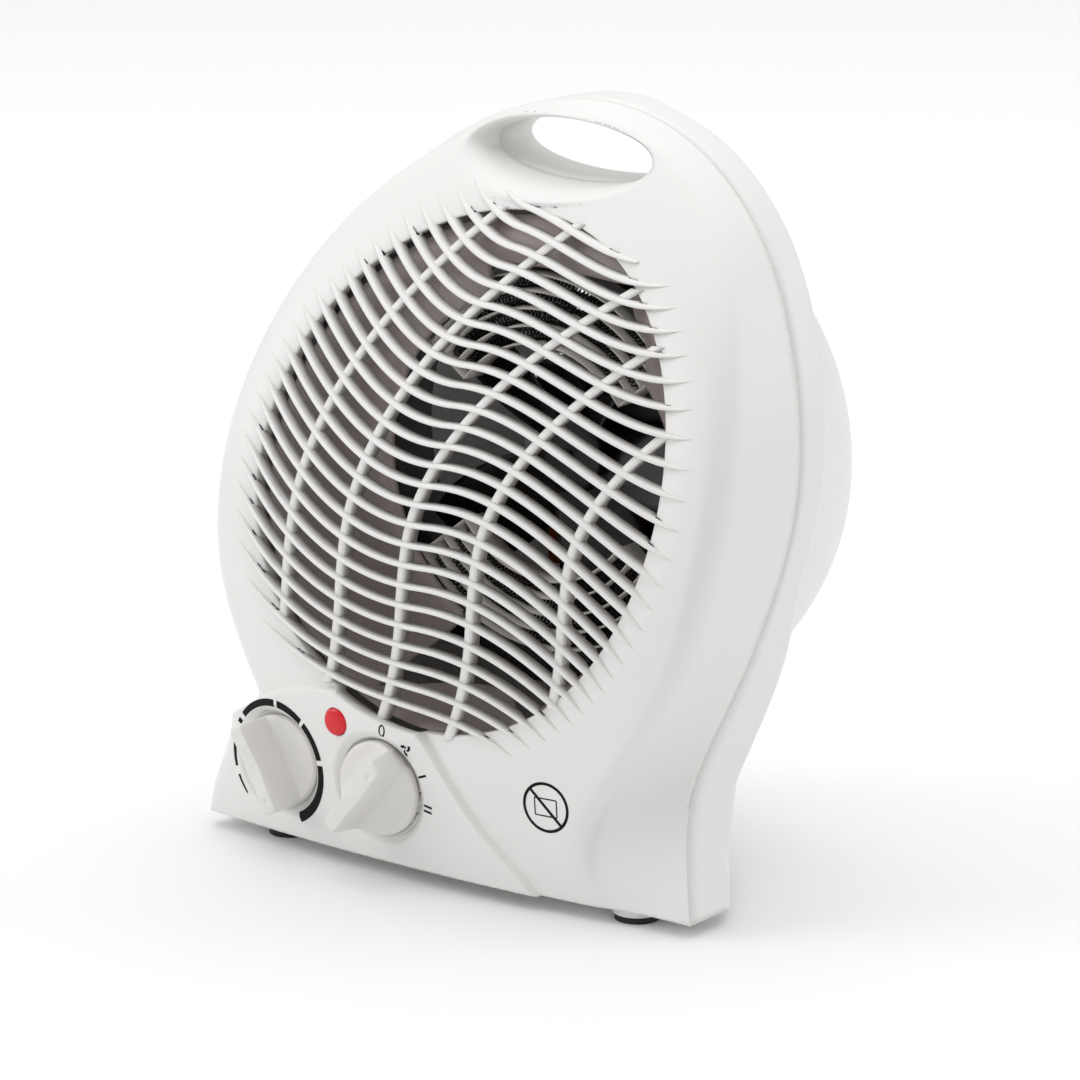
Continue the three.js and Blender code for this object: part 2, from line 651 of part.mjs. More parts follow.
// A bank of wire: rows bent round the fan axis.
function coilBank(side) {
  const y0 = ELEMENT.front + 1.2;
  const y1 = ELEMENT.back - 1.2;
  const half = ELEMENT.row / 2;
  const sweep = THREE.MathUtils.degToRad(ELEMENT_SWEEP);
  const parts = ELEMENT.rows.map((r) => {
    const rings = [];
    for (let i = 0; i <= 10; i++) {
      const a = side * (Math.PI / 2) + sweep * ((2 * i) / 10 - 1);
      const at = (q, y) => [q * Math.cos(a), y, FAN_Z + q * Math.sin(a)];
      rings.push([at(r - half, y0), at(r + half, y0), at(r + half, y1), at(r - half, y1)]);
    }
    return loft(rings);
  });
  return union(parts.concat(coilLinks(side, 0)));
}

function tube(inner, outer, y0, y1, segments = 48) {
  return turned([[inner, y0], [outer, y0], [outer, y1], [inner, y1], [inner, y0]], 0, FAN_Z, segments);
}

// One bank's mica: concentric cards between the rows of wire, joined by a card at each end.
function micaCards(side) {
  const { front, back, cards, card } = ELEMENT;
  const sweep = THREE.MathUtils.degToRad(ELEMENT_SWEEP + 3);
  const steps = 10;
  const parts = cards.map((r) => {
    const rings = [];
    for (let i = 0; i <= steps; i++) {
      const a = side * (Math.PI / 2) + sweep * ((2 * i) / steps - 1);
      const at = (q, y) => [q * Math.cos(a), y, FAN_Z + q * Math.sin(a)];
      rings.push([at(r, front), at(r + card, front), at(r + card, back), at(r, back)]);
    }
    return loft(rings);
  });
  for (const end of [-1, 1]) {
    const plate = block(cards[0], cards[cards.length - 1] + card, front, back, -card / 2, card / 2);
    const degrees = side * 90 + end * (ELEMENT_SWEEP + 3);
    parts.push(plate.rotate([0, -degrees, 0]).translate([0, 0, FAN_Z]));
  }
  return union(parts).subtract(union(coilLinks(side, GAP)));
}

function duct() {
  const { radius, front, back, flange } = DUCT;
  return turned(
    [[radius, front], [flange, front], [flange, front + 1.4], [radius + 1.6, front + 1.4],
      [radius + 1.6, back], [radius, back], [radius, front]],
    0, FAN_Z, 44,
  );
}

function impeller() {
  const { front, back, hub, radius, blades, pitch } = FAN;
  const y = (front + back) / 2;
  const parts = [turned([[0, front], [hub - 2, front], [hub, front + 2], [hub, back], [0, back]], 0, 0, 28)];
  for (let b = 0; b < blades; b++) {
    const rings = [];
    for (let i = 0; i <= 4; i++) {
      const r = hub - 2 + ((radius - hub + 2) * i) / 4;
      const chord = 12 + 22 * Math.sin((Math.PI * (i + 1)) / 6.2);
      const twist = THREE.MathUtils.degToRad(pitch - 4.5 * i);
      const c = (chord / 2) * Math.cos(twist);
      const s = Math.min((chord / 2) * Math.sin(twist), 6.6);
      rings.push([
        [r, y - s - 0.6, -c],
        [r, y - 0.6 + 1.2, 0],
        [r, y + s - 0.6, c],
        [r, y + s + 0.6, c],
        [r, y + 0.6 + 1.2, 0],
        [r, y - s + 0.6, -c],
      ]);
    }
    parts.push(loft(rings).rotate([0, (360 / blades) * b, 0]));
  }
  const bore = rod(MOTOR.shaft + 0.15, front - 1, back + 1, 0, 0, 16);
  return union(parts).subtract(bore).translate([0, 0, FAN_Z]);
}

// ---------------------------------------------------------------- motor
function stator() {
  const { front, back, half, bore } = MOTOR;
  const core = block(-half, half, front, back, -half - 8, half - 4);
  const coilWindow = block(-half + 9, half - 9, front - 1, back + 1, -half + 1, -half + 12);
  const hole = rod(bore, front - 1, back + 1, 0, 0, 32);
  let body = core.subtract(coilWindow).subtract(hole);
  for (const x of [-POST_X, POST_X]) body = body.subtract(rod(1.9, front - 1, back + 1, x, 0, 12));
  return body.translate([0, 0, FAN_Z]);
}

function statorCoil() {
  const { front, back, half } = MOTOR;
  const bobbin = block(-half + 10, half - 10, front - 6, back + 6, -half - 14.5, -half + 11.5);
  const limb = block(-half, half, front - GAP, back + GAP, -half - 8 - GAP, -half + 1 + GAP);
  return bobbin.subtract(limb).translate([0, 0, FAN_Z]);
}

function bracket(y0, y1) {
  const strap = block(-31, 31, y0, y1, -7, 7);
  let body = strap.add(rod(8, y0, y1, 0, 0, 20)).subtract(rod(4.3, y0 - 1, y1 + 1, 0, 0, 20));
  for (const x of [-POST_X, POST_X]) body = body.subtract(rod(1.9, y0 - 1, y1 + 1, x, 0, 12));
  return body.translate([0, 0, FAN_Z]);
}

function bush(y0, y1) {
  const inner = MOTOR.shaft + 0.2;
  return tube(inner, 4, y0, y1, 16);
}

function rotor() {
  const { front, back } = MOTOR;
  return tube(MOTOR.shaft + 0.1, MOTOR.rotor, front + 0.5, back - 0.5, 24);
}

function screw(headY, x, z, length, head = 3, shank = 1.3) {
  return turned(
    [[0, headY - length], [shank, headY - length], [shank, headY], [head, headY], [head, headY + 1.6],
      [head - 0.8, headY + 2.2], [0, headY + 2.2]],
    x, z, 12,
  );
}

function motorScrew(x) {
  const head = MOTOR.front - 4.3;
  return turned(
    [[0, head - 2], [3, head - 2], [3, head], [1.5, head], [1.5, MOTOR.back + 3.9], [0, MOTOR.back + 3.9]],
    x, FAN_Z, 12,
  );
}

// ---------------------------------------------------------------- small pieces
function thermalCutout() {
  return turned([[0, 1.5], [8, 1.5], [8, 5], [6, 5], [6, 8], [0, 8]], -60, 72, 24);
}

function thermalFuse() {
  return solid(new THREE.CylinderGeometry(2, 2, 12, 14).rotateZ(Math.PI / 2).translate(60, 5, 72));
}

function cordInlet() {
  const y = rearY(CORD.x, CORD.z) - 1;
  return turned(
    [[CORD.bore, y - 7], [CORD.neck, y - 7], [CORD.neck, y + GAP], [CORD.neck + 2.5, y + GAP],
      [CORD.neck + 2, y + 3], [CORD.bore, y + 3], [CORD.bore, y - 7]],
    CORD.x, CORD.z, 24,
  );
}

// ---------------------------------------------------------------- assembly
const group = new THREE.Group();
group.name = "fan_heater";

function put(name, body, color, roughness, metalness = 0) {
  const m = body.getMesh();
  const g = new THREE.BufferGeometry();
  g.setAttribute("position", new THREE.BufferAttribute(new Float32Array(m.vertProperties), 3));
  g.setIndex(new THREE.BufferAttribute(new Uint32Array(m.triVerts), 1));
  g.computeVertexNormals();
  const mesh = new THREE.Mesh(g, new THREE.MeshStandardMaterial({ color, roughness, metalness }));
  mesh.name = name;
  group.add(mesh);
}

const WHITE = 0xe9e8e6;
const TAUPE = 0x6b5f5e;
const BLACK = 0x1c1a19;
const STEEL = 0xb4b6b8;
const COPPER = 0xa8562c;

put("front_casing", frontCasing(), WHITE, 0.42);
put("rear_casing", rearCasing(), WHITE, 0.45);
put("thermostat_knob", knob(THERMOSTAT), 0xe4e2df, 0.4);
put("selector_knob", knob(SELECTOR), 0xe4e2df, 0.4);
put("thermostat_shaft", controlShaft(THERMOSTAT, -49), STEEL, 0.35, 0.9);
put("selector_shaft", controlShaft(SELECTOR, -53), STEEL, 0.35, 0.9);
put("thermostat_body", controlBody(THERMOSTAT, -52, -38, 12, -49), 0xc9b38a, 0.6);
put("selector_switch_body", controlBody(SELECTOR, -57, -42, 12, -53), BLACK, 0.5);
put("pilot_lens", pilotLens(), 0xe0142d, 0.15);
put("neon_lamp", rod(3, faceY(PILOT.x, PILOT.z) + 4.2, -44, PILOT.x, PILOT.z, 16), 0xd8d0c0, 0.2);
put("inner_baffle", baffle(), TAUPE, 0.55);
put("mica_cards_upper", micaCards(1), 0xcdbf9f, 0.6);
put("mica_cards_lower", micaCards(-1), 0xcdbf9f, 0.6);
put("heating_wire_upper", coilBank(1), 0x5c5a58, 0.4, 0.9);
put("heating_wire_lower", coilBank(-1), 0x5c5a58, 0.4, 0.9);
put("fan_duct", duct(), BLACK, 0.5);
put("fan_impeller", impeller(), 0x26221f, 0.5);
put("motor_shaft", rod(MOTOR.shaft, FAN.front - 3, MOTOR.back + 9, 0, FAN_Z, 16), STEEL, 0.3, 1);
put("motor_rotor", rotor(), 0x8a8c8e, 0.45, 0.9);
put("motor_stator", stator(), 0x75787b, 0.5, 0.8);
put("motor_winding", statorCoil(), COPPER, 0.35, 0.7);
put("motor_bracket_front", bracket(MOTOR.front - 4, MOTOR.front - 2.4), STEEL, 0.4, 0.9);
put("motor_bracket_rear", bracket(MOTOR.back + 2.4, MOTOR.back + 4), STEEL, 0.4, 0.9);
put("bearing_bush_front", bush(MOTOR.front - 5, MOTOR.front - 1), 0x9a7b4a, 0.5, 0.8);
put("bearing_bush_rear", bush(MOTOR.back + 1, MOTOR.back + 5), 0x9a7b4a, 0.5, 0.8);
put("motor_screw_left", motorScrew(-POST_X), STEEL, 0.35, 0.9);
put("motor_screw_right", motorScrew(POST_X), STEEL, 0.35, 0.9);
put("thermal_cutout", thermalCutout(), 0x3a3632, 0.5);
put("thermal_fuse", thermalFuse(), 0xd7d3cb, 0.4);
put("terminal_block", block(28, 56, -40, -26, 12, 24), 0xd9d6cf, 0.5);
put("cord_inlet", cordInlet(), BLACK, 0.6);
["front_right", "front_left", "rear_right", "rear_left"].forEach((where, i) => {
  const [x, y] = FEET[i];
  put("foot_pad_" + where, upright(FOOT_RADIUS - 0.8, 0, PAD_HEIGHT, x, y, 24), 0x2b2a29, 0.85);
});
["lower_right", "lower_left", "upper_right", "upper_left"].forEach((where, i) => {
  const [x, z] = BOSSES[i];
  put("casing_screw_" + where, screw(seamY(z) + 6 + GAP, x, z, 6 + SCREW_BITE), STEEL, 0.35, 0.9);
});

export default group;
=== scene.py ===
# %% [markdown]
# # Table-top fan heater
# Two moulded white casing halves round a drum, a louvred outlet, two dials and a pilot light,
# a carrying handle, and inside a funnel baffle, two banks of resistance wire on mica cards, an
# axial fan and its motor. The fixed frame comes from the CAD part. Pieces whose CAD shape is
# coarse get a finer surface made from the same main curves; the others keep their CAD shape.
# Curves and sizes are in millimetres in the frame's axes: X right, -Y the front, Z up.

import json
import math

import bmesh
import bpy
import numpy as np
from mathutils import Matrix, Vector
from mathutils.geometry import delaunay_2d_cdt


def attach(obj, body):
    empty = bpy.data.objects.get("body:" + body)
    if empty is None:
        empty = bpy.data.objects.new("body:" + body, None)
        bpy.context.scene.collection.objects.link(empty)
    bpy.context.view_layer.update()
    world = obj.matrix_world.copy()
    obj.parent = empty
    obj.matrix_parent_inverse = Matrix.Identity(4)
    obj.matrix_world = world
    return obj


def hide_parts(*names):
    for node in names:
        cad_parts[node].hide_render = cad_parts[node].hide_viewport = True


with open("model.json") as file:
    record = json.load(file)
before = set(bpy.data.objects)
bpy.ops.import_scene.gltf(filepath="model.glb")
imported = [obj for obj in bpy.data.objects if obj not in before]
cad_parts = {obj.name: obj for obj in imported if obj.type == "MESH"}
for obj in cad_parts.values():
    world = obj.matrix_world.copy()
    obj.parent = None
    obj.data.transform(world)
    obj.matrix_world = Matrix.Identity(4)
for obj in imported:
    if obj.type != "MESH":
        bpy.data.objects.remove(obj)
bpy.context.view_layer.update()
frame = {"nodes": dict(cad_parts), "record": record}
MM = 0.001
print("CAD nodes:", len(frame["nodes"]))

# %% [markdown]
# ## Curves of the casing
# The mould surfaces follow a few curves: the outline seen from the front, the parting line
# and the centre line of the face seen from the side. Natural cubic splines carry them, as a
# pattern maker's spline would, so the white surfaces reflect without flats or kinks.

# %% Driving curves
BASE_Z = 5.0
OUTLINE = [(103, 5), (98, 20), (93.5, 42), (99.5, 75), (105, 103), (107.8, 126), (105.8, 158),
           (97, 187), (81.3, 214), (54.5, 238), (28, 250), (0, 254)]
CENTRE_Z = 130.0
SEAM = [(5, -49.9), (50, -33.8), (110, -8), (180, 10), (254, 34)]
FACE = [(5, -57), (50, -62.5), (100, -63.5), (150, -49.7), (200, -21), (250, 22.5)]
RIM_DEPTH = [(5, 22.5), (40, 25), (65, 27.5), (85, 24), (105, 17), (130, 15.5), (254, 16)]
FACE_RADIUS_BASE, FACE_RADIUS = 780, 400
FLANK_TOP, FLANK_FOOT = 3.5, 28
FAN_Z = 134.0
DRUM_R, DRUM_FRONT, DRUM_BACK, DRUM_SHOULDER = 97.5, 9.5, 77.0, 0.3
WINDOW_Z, WINDOW_R = 138.0, 83.3
HANDLE_Z, HANDLE_W, HANDLE_H = 238.3, 37.0, 10.0
PANEL_RAISE = 2.5
PANEL_EDGE = [(48, 3), (40, 11.5), (30, 20.5), (20, 31), (11, 43), (3, 53.5), (-8, 60.5), (-22, 63.5),
              (-38, 63.5), (-55, 60.5), (-72, 54.2), (-86, 46.5), (-97, 39.5)]
DIALS = {
    "thermostat": {"x": -65.0, "z": 31.5, "floor": -57.0, "front": -72.5, "pointer": 150.0},
    "selector": {"x": -17.7, "z": 32.0, "floor": -60.3, "front": -77.0, "pointer": 40.0},
}
WELL_R, KNOB_R, KNOB_BAR = 17.4, 16.3, 13.2
WELL_DISH, WELL_LIP = 1.9, 3.1
OUTLET_SINK, OUTLET_LIP = 2.1, 10.5
PILOT = (-35.0, 52.3, 4.7)
PILOT_HOLE_R = PILOT[2] + 0.3
HANDLE_FLARE, FLARE_DEEP, REAR_FLARE = 5.2, 9, 1.6
CORD_Z = 20.0
FEET = [(75, -41.2), (-75, -41.2), (42, 20), (-42, 20)]
BOSSES = [(88, 60), (-88, 60), (76, 196), (-76, 196)]


def spline(pairs):
    """Natural cubic spline through (t, v) pairs, for numpy arrays."""
    t, v = (np.array(c, float) for c in zip(*pairs))
    n, h = len(t), np.diff(t)
    a = np.eye(n)
    rhs = np.zeros(n)
    for i in range(1, n - 1):
        a[i, i - 1 : i + 2] = h[i - 1], 2 * (h[i - 1] + h[i]), h[i]
        rhs[i] = 6 * ((v[i + 1] - v[i]) / h[i] - (v[i] - v[i - 1]) / h[i - 1])
    m = np.linalg.solve(a, rhs)

    def at(q):
        q = np.asarray(q, float)
        i = np.clip(np.searchsorted(t, q) - 1, 0, n - 2)
        l, r = (t[i + 1] - q) / h[i], (q - t[i]) / h[i]
        bend = ((l**3 - l) * m[i] + (r**3 - r) * m[i + 1]) * h[i] ** 2 / 6
        return l * v[i] + r * v[i + 1] + bend

    return at


def smooth(lo, hi, v):
    t = np.clip((np.asarray(v, float) - lo) / (hi - lo), 0, 1)
    return t * t * (3 - 2 * t)


seam_y, face_line, rim_depth = spline(SEAM), spline(FACE), spline(RIM_DEPTH)


def arch(count):
    """The open part of the outline, from the right foot over the top to the left foot."""
    pts = OUTLINE + [(-x, z) for x, z in OUTLINE[-2::-1]]
    run = np.concatenate([[0], np.cumsum(np.hypot(*np.diff(np.array(pts, float), axis=0).T))])
    sx = spline([(r, p[0]) for r, p in zip(run, pts)])
    sz = spline([(r, p[1]) for r, p in zip(run, pts)])
    q = np.linspace(0, run[-1], count + 1)
    return np.stack([sx(q), sz(q)], 1)


ARCH = arch(1200)
POLAR = (np.arctan2(ARCH[:, 1] - BASE_Z, ARCH[:, 0]), np.hypot(ARCH[:, 0], ARCH[:, 1] - BASE_Z))


def inset(x, z):
    """Distance inwards from the outline, along the ray from the middle of the foot."""
    return np.interp(np.arctan2(z - BASE_Z, x), *POLAR) - np.hypot(x, z - BASE_Z)


def face_y(x, z):
    k = smooth(8, 70, z)
    return face_line(z) + x * x / 2 * ((1 - k) / FACE_RADIUS_BASE + k / FACE_RADIUS)


def flank_width(x, z):
    edge = np.interp(np.arctan2(z - BASE_Z, x), *POLAR)
    return np.minimum(FLANK_TOP + FLANK_FOOT * (1 - smooth(12, 105, z)), 0.5 * edge)


BULGE = 11.0


def bare_front(x, z):
    """Flank from the parting line, the bulge, then the face."""
    d, flank, seam, face = np.maximum(0, inset(x, z)), flank_width(x, z), seam_y(z), face_y(x, z)
    crease = seam + 0.75 * (face - seam)
    on_flank = seam + (crease - seam) * np.clip(d / flank, 0, 1) ** 0.9
    t = np.clip(1 - (d - flank) / BULGE, 0, 1)
    on_bulge = crease + (face - crease) * np.sqrt(1 - t * t)
    return np.where(d < flank, on_flank, on_bulge)


# %% [markdown]
# ## Details pressed into the face
# The control panel stands 2.5 mm proud with a soft step. Each dial sits in a dished well. The
# outlet has a wide countersink that the louvre slats run out over, which leaves each slat with a
# tapering tip between two wedge-shaped hollows.

# %% Face details
def edge_curve(points, count):
    pts = np.array(points, float)
    run = np.concatenate([[0], np.cumsum(np.hypot(*np.diff(pts, axis=0).T))])
    q = np.linspace(0, run[-1], count)
    return np.stack([spline(list(zip(run, pts[:, k])))(q) for k in (0, 1)], 1)


PANEL_LINE = edge_curve(PANEL_EDGE, 240)
PANEL_AREA = np.concatenate([PANEL_LINE, [(-140, 35), (-140, -30), (48, -30)]])


def inside(poly, x, z):
    """Even-odd test of points against a closed polygon."""
    hit = np.zeros(np.shape(x), bool)
    for (x0, z0), (x1, z1) in zip(poly, np.roll(poly, -1, axis=0)):
        if z0 != z1:
            hit ^= ((z0 > z) != (z1 > z)) & (x < (x1 - x0) * (z - z0) / (z1 - z0) + x0)
    return hit


def panel_depth(x, z):
    """Signed distance into the panel from its upper edge."""
    x, z = np.asarray(x, float), np.asarray(z, float)
    best = np.full(x.shape, 1e9)
    for (x0, z0), (x1, z1) in zip(PANEL_LINE[:-1], PANEL_LINE[1:]):
        l2 = (x1 - x0) ** 2 + (z1 - z0) ** 2
        t = np.clip(((x - x0) * (x1 - x0) + (z - z0) * (z1 - z0)) / l2, 0, 1)
        best = np.minimum(best, np.hypot(x - x0 - t * (x1 - x0), z - z0 - t * (z1 - z0)))
    return np.where(inside(PANEL_AREA, x, z), best, -best)


def round_over(distance, radius):
    """Drop of a quarter-round edge at a distance from it."""
    t = np.clip(1 - distance / radius, 0, 1)
    return radius * (1 - np.sqrt(np.maximum(0, 1 - t * t)))


def front_y(x, z):
    x, z = np.asarray(x, float), np.asarray(z, float)
    face = face_y(x, z)
    d = np.maximum(0, inset(x, z))
    flank = 1 - smooth(-91, -76, x)
    roll = 1.3 + flank * (1 + 9.3 * smooth(14, 44, z))
    wide = 1.3 + flank * (0.7 + 7 * smooth(14, 44, z))
    t = np.clip(1 - d / wide, 0, 1)
    panel = face - PANEL_RAISE + roll * (1 - np.sqrt(np.maximum(0, 1 - t * t)))
    k = smooth(0, 1.3, panel_depth(x, z))
    y = bare_front(x, z) * (1 - k) + panel * k
    out = np.hypot(x, z - WINDOW_Z) - WINDOW_R
    sink = OUTLET_SINK * np.clip(1 - out / OUTLET_LIP, 0, 1) ** 1.6 + round_over(out, 0.9)
    y = y + sink * (1 - k) * (out > -0.01)
    for dial in DIALS.values():
        r = np.hypot(x - dial["x"], z - dial["z"])
        y = y + WELL_DISH * (1 - smooth(WELL_R - 0.3, WELL_R + WELL_LIP, r)) + round_over(r - WELL_R, 0.5)
    return y + round_over(np.maximum(0, z - BASE_Z), 1.2) * (np.abs(x) < 102)


def handle_point(angle, e):
    """Point at a distance e outside the finger opening, which flares most at its left and foot."""
    grow = e * (0.62 - 0.40 * np.sin(angle) - 0.34 * np.cos(angle))
    c, s = np.cos(angle), np.sin(angle)
    return np.stack([HANDLE_W * c + grow * c, HANDLE_Z + HANDLE_H * s + grow * s], -1)


# %% Mesh helpers
def link(name, verts, faces, flat=False):
    """A mesh object from millimetre points."""
    mesh = bpy.data.meshes.new(name)
    mesh.from_pydata((np.asarray(verts, float) * MM).tolist(), [], [list(map(int, f)) for f in faces])
    mesh.validate()
    mesh.polygons.foreach_set("use_smooth", [not flat] * len(mesh.polygons))
    obj = bpy.data.objects.new(name, mesh)
    bpy.context.scene.collection.objects.link(obj)
    return obj


class Shape:
    """Points and faces gathered from several surfaces of one moulding."""

    def __init__(self):
        self.v, self.f, self.n = [], [], 0

    def add(self, verts, faces):
        verts = np.asarray(verts, float)
        self.v.append(verts)
        self.f += [[int(i) + self.n for i in f] for f in faces]
        self.n += len(verts)

    def rings(self, rings, closed=True, flip=False):
        """Skin over rings of equal counts."""
        n = len(rings[0])
        faces = []
        for k in range(len(rings) - 1):
            for i in range(n if closed else n - 1):
                j = (i + 1) % n
                q = [k * n + i, k * n + j, (k + 1) * n + j, (k + 1) * n + i]
                faces.append(q[::-1] if flip else q)
        self.add(np.concatenate(rings), faces)

    def cap(self, ring, flip=False):
        ring = np.asarray(ring, float)
        n = len(ring)
        faces = [[i, (i + 1) % n, n] for i in range(n)]
        self.add(np.concatenate([ring, [ring.mean(0)]]), [f[::-1] if flip else f for f in faces])

    def build(self, name, weld=0.004):
        obj = link(name, np.concatenate(self.v), self.f)
        bm = bmesh.new()
        bm.from_mesh(obj.data)
        bmesh.ops.remove_doubles(bm, verts=bm.verts, dist=weld * MM)
        bmesh.ops.recalc_face_normals(bm, faces=bm.faces)
        bm.to_mesh(obj.data)
        bm.free()
        return obj


def face_outward(obj, surface, side):
    """Turn round the faces of an outer sheet that point into the moulding."""
    bm = bmesh.new()
    bm.from_mesh(obj.data)
    mid = np.array([f.calc_center_median() for f in bm.faces]) / MM
    near = np.abs(mid[:, 1] - surface(mid[:, 0], mid[:, 2])) < 0.3
    wrong = [f for f, hit in zip(bm.faces, near) if hit and f.normal.y * side < -0.05]
    bmesh.ops.reverse_faces(bm, faces=wrong)
    bm.to_mesh(obj.data)
    bm.free()
    print(obj.name, "faces turned outward:", len(wrong))


def circle(x, z, r, count):
    a = np.linspace(0, 2 * np.pi, count, endpoint=False)
    return np.stack([x + r * np.cos(a), z + r * np.sin(a)], 1)


def lifted(points, height):
    """Plan points (x, z) raised onto a height function, or to one height."""
    p = np.asarray(points, float)
    y = height(p[:, 0], p[:, 1]) if callable(height) else np.full(len(p), float(height))
    return np.stack([p[:, 0], y, p[:, 1]], 1)


def sheet_mesh(points, keep):
    """Triangles over plan points; keep says which centroids belong to the surface."""
    pts = np.unique(np.round(np.concatenate(points), 4), axis=0)
    verts, _, faces, *_ = delaunay_2d_cdt([Vector(p) for p in pts], [], [], 0, 1e-5)
    v = np.array([(p.x, p.y) for p in verts])
    f = np.array(faces)
    mid = v[f].mean(1)
    return v, f[keep(mid[:, 0], mid[:, 1])]


def grid(step, x0, x1, z0, z1):
    """Staggered grid of points."""
    rows = np.arange(z0, z1, step * 0.866)
    row = np.arange(x0, x1, step)
    out = []
    for i, z in enumerate(rows):
        out.append(np.stack([row + (i % 2) * step / 2, np.full_like(row, z)], 1))
    return np.concatenate(out)


def closed_outline(count, foot):
    top = arch(count)
    row = np.linspace(-103, 103, foot + 1)[1:-1]
    return np.concatenate([top, np.stack([row, np.full_like(row, BASE_Z)], 1)])


def drawn_in(points, d):
    p = np.asarray(points, float) - [0, CENTRE_Z]
    s = 1 - np.asarray(d) / np.hypot(p[:, 0], p[:, 1])
    return p * s[:, None] + [0, CENTRE_Z]


def front_step(points, way):
    """Distance along each ray to the middle: way 0 to 1 crosses the flank, 1 to 2 the bulge."""
    lo, hi = np.zeros(len(points)), np.full(len(points), 60.0)
    for _ in range(22):
        mid = (lo + hi) / 2
        p = drawn_in(points, mid)
        d, flank = inset(p[:, 0], p[:, 1]), flank_width(p[:, 0], p[:, 1])
        here = np.where(d < flank, d / flank, 1 + (d - flank) / BULGE)
        lo, hi = np.where(here < way, mid, lo), np.where(here < way, hi, mid)
    return np.where(lo < 0.02, 0, lo)


# %% [markdown]
# ## Front casing
# One shot in a two-plate tool: the outer skin, the outlet with its louvre, the wells for the
# dials and the front half of the handle. The skin is a sheet over the outline, with rows of
# points along every edge so that each turns over softly, and a wall behind each opening.

# %% Front skin
FLANK_ROWS = (0.03, 0.08, 0.16, 0.28, 0.42, 0.56, 0.7, 0.82, 0.92, 0.97, 1.0)
BULGE_ROWS = (1.02, 1.05, 1.1, 1.18, 1.28, 1.4, 1.55, 1.7, 1.85, 2.0)
WINDOW_ROWS = (0, 0.12, 0.3, 0.55, 0.9, 1.5, 2.5, 4, 6, 8, 10.5)


def front_skin():
    shape = Shape()
    outline = closed_outline(300, 110)
    points = [outline]
    for way in FLANK_ROWS + BULGE_ROWS:
        step = front_step(outline, way)
        points.append(drawn_in(outline, step)[step > 0.1])
    handle_angles = np.linspace(0, 2 * np.pi, 160, endpoint=False)
    handle_rim = handle_point(handle_angles, HANDLE_FLARE)
    points += [handle_rim, handle_point(handle_angles, 6.3)]
    window = [circle(0, WINDOW_Z, WINDOW_R + d, 420) for d in WINDOW_ROWS]
    points += window
    for offset in (-0.5, 0, 0.2, 0.4, 0.65, 0.9, 1.1, 1.3, 2.0):
        t = np.gradient(PANEL_LINE, axis=0)
        normal = np.stack([-t[:, 1], t[:, 0]], 1) / np.hypot(*t.T)[:, None]
        points.append(PANEL_LINE + normal * offset)
    for dial in DIALS.values():
        for d in (0, 0.12, 0.3, 0.5, 0.8, 1.1, 1.4, 1.7, 2.0, 2.3, 2.6, 2.9, 3.2, 3.8, 4.6, 5.6):
            points.append(circle(dial["x"], dial["z"], WELL_R + d, 150))
    for d in (0, 0.15, 0.4, 0.8):
        points.append(circle(PILOT[0], PILOT[1], PILOT_HOLE_R + d, 48))
    fill = grid(2.4, -104, 104, 6.5, 252)
    fx, fz = fill.T
    fd = inset(fx, fz) - flank_width(fx, fz)
    clear = (fd > BULGE + 1.5) & (np.abs(np.hypot(fx, fz - WINDOW_Z) - WINDOW_R - 5) > 7)
    clear &= np.hypot(fx, fz - WINDOW_Z) > WINDOW_R
    clear &= np.abs(panel_depth(fx, fz) - 0.8) > 2.2
    for dial in DIALS.values():
        clear &= np.hypot(fx - dial["x"], fz - dial["z"]) > WELL_R + 6.8
    clear &= ~inside(handle_point(handle_angles, 8.5), fx, fz)
    points.append(fill[clear])
    on_flank = grid(4, -104, 104, 6.5, 60)
    ox, oz = on_flank.T
    od = inset(ox, oz)
    free = (od > 2) & (od < flank_width(ox, oz) - 2) & (np.abs(panel_depth(ox, oz)) > 2.2)
    points.append(on_flank[free])
    foot = np.linspace(-101.5, 101.5, 150)
    points += [np.stack([foot, np.full_like(foot, BASE_Z + d)], 1) for d in (0.15, 0.4, 0.8, 1.2, 2.2)]

    polygon = closed_outline(300, 110)
    allp = np.concatenate(points)
    allp = allp[inside(drawn_in(polygon, np.full(len(polygon), -0.02)), allp[:, 0], allp[:, 1])]
    allp = allp[np.hypot(allp[:, 0], allp[:, 1] - WINDOW_Z) > WINDOW_R - 0.01]

    def keep(x, z):
        ok = inside(polygon, x, z) & (np.hypot(x, z - WINDOW_Z) > WINDOW_R)
        ok &= ~inside(handle_rim, x, z)
        for dial in DIALS.values():
            ok &= np.hypot(x - dial["x"], z - dial["z"]) > WELL_R
        return ok & (np.hypot(x - PILOT[0], z - PILOT[1]) > PILOT_HOLE_R)

    v, f = sheet_mesh([allp], keep)
    shape.add(lifted(v, front_y), f)
    return shape, outline, window[0], handle_angles


front, outline, window_ring, handle_angles = front_skin()
print("front skin points:", front.n)

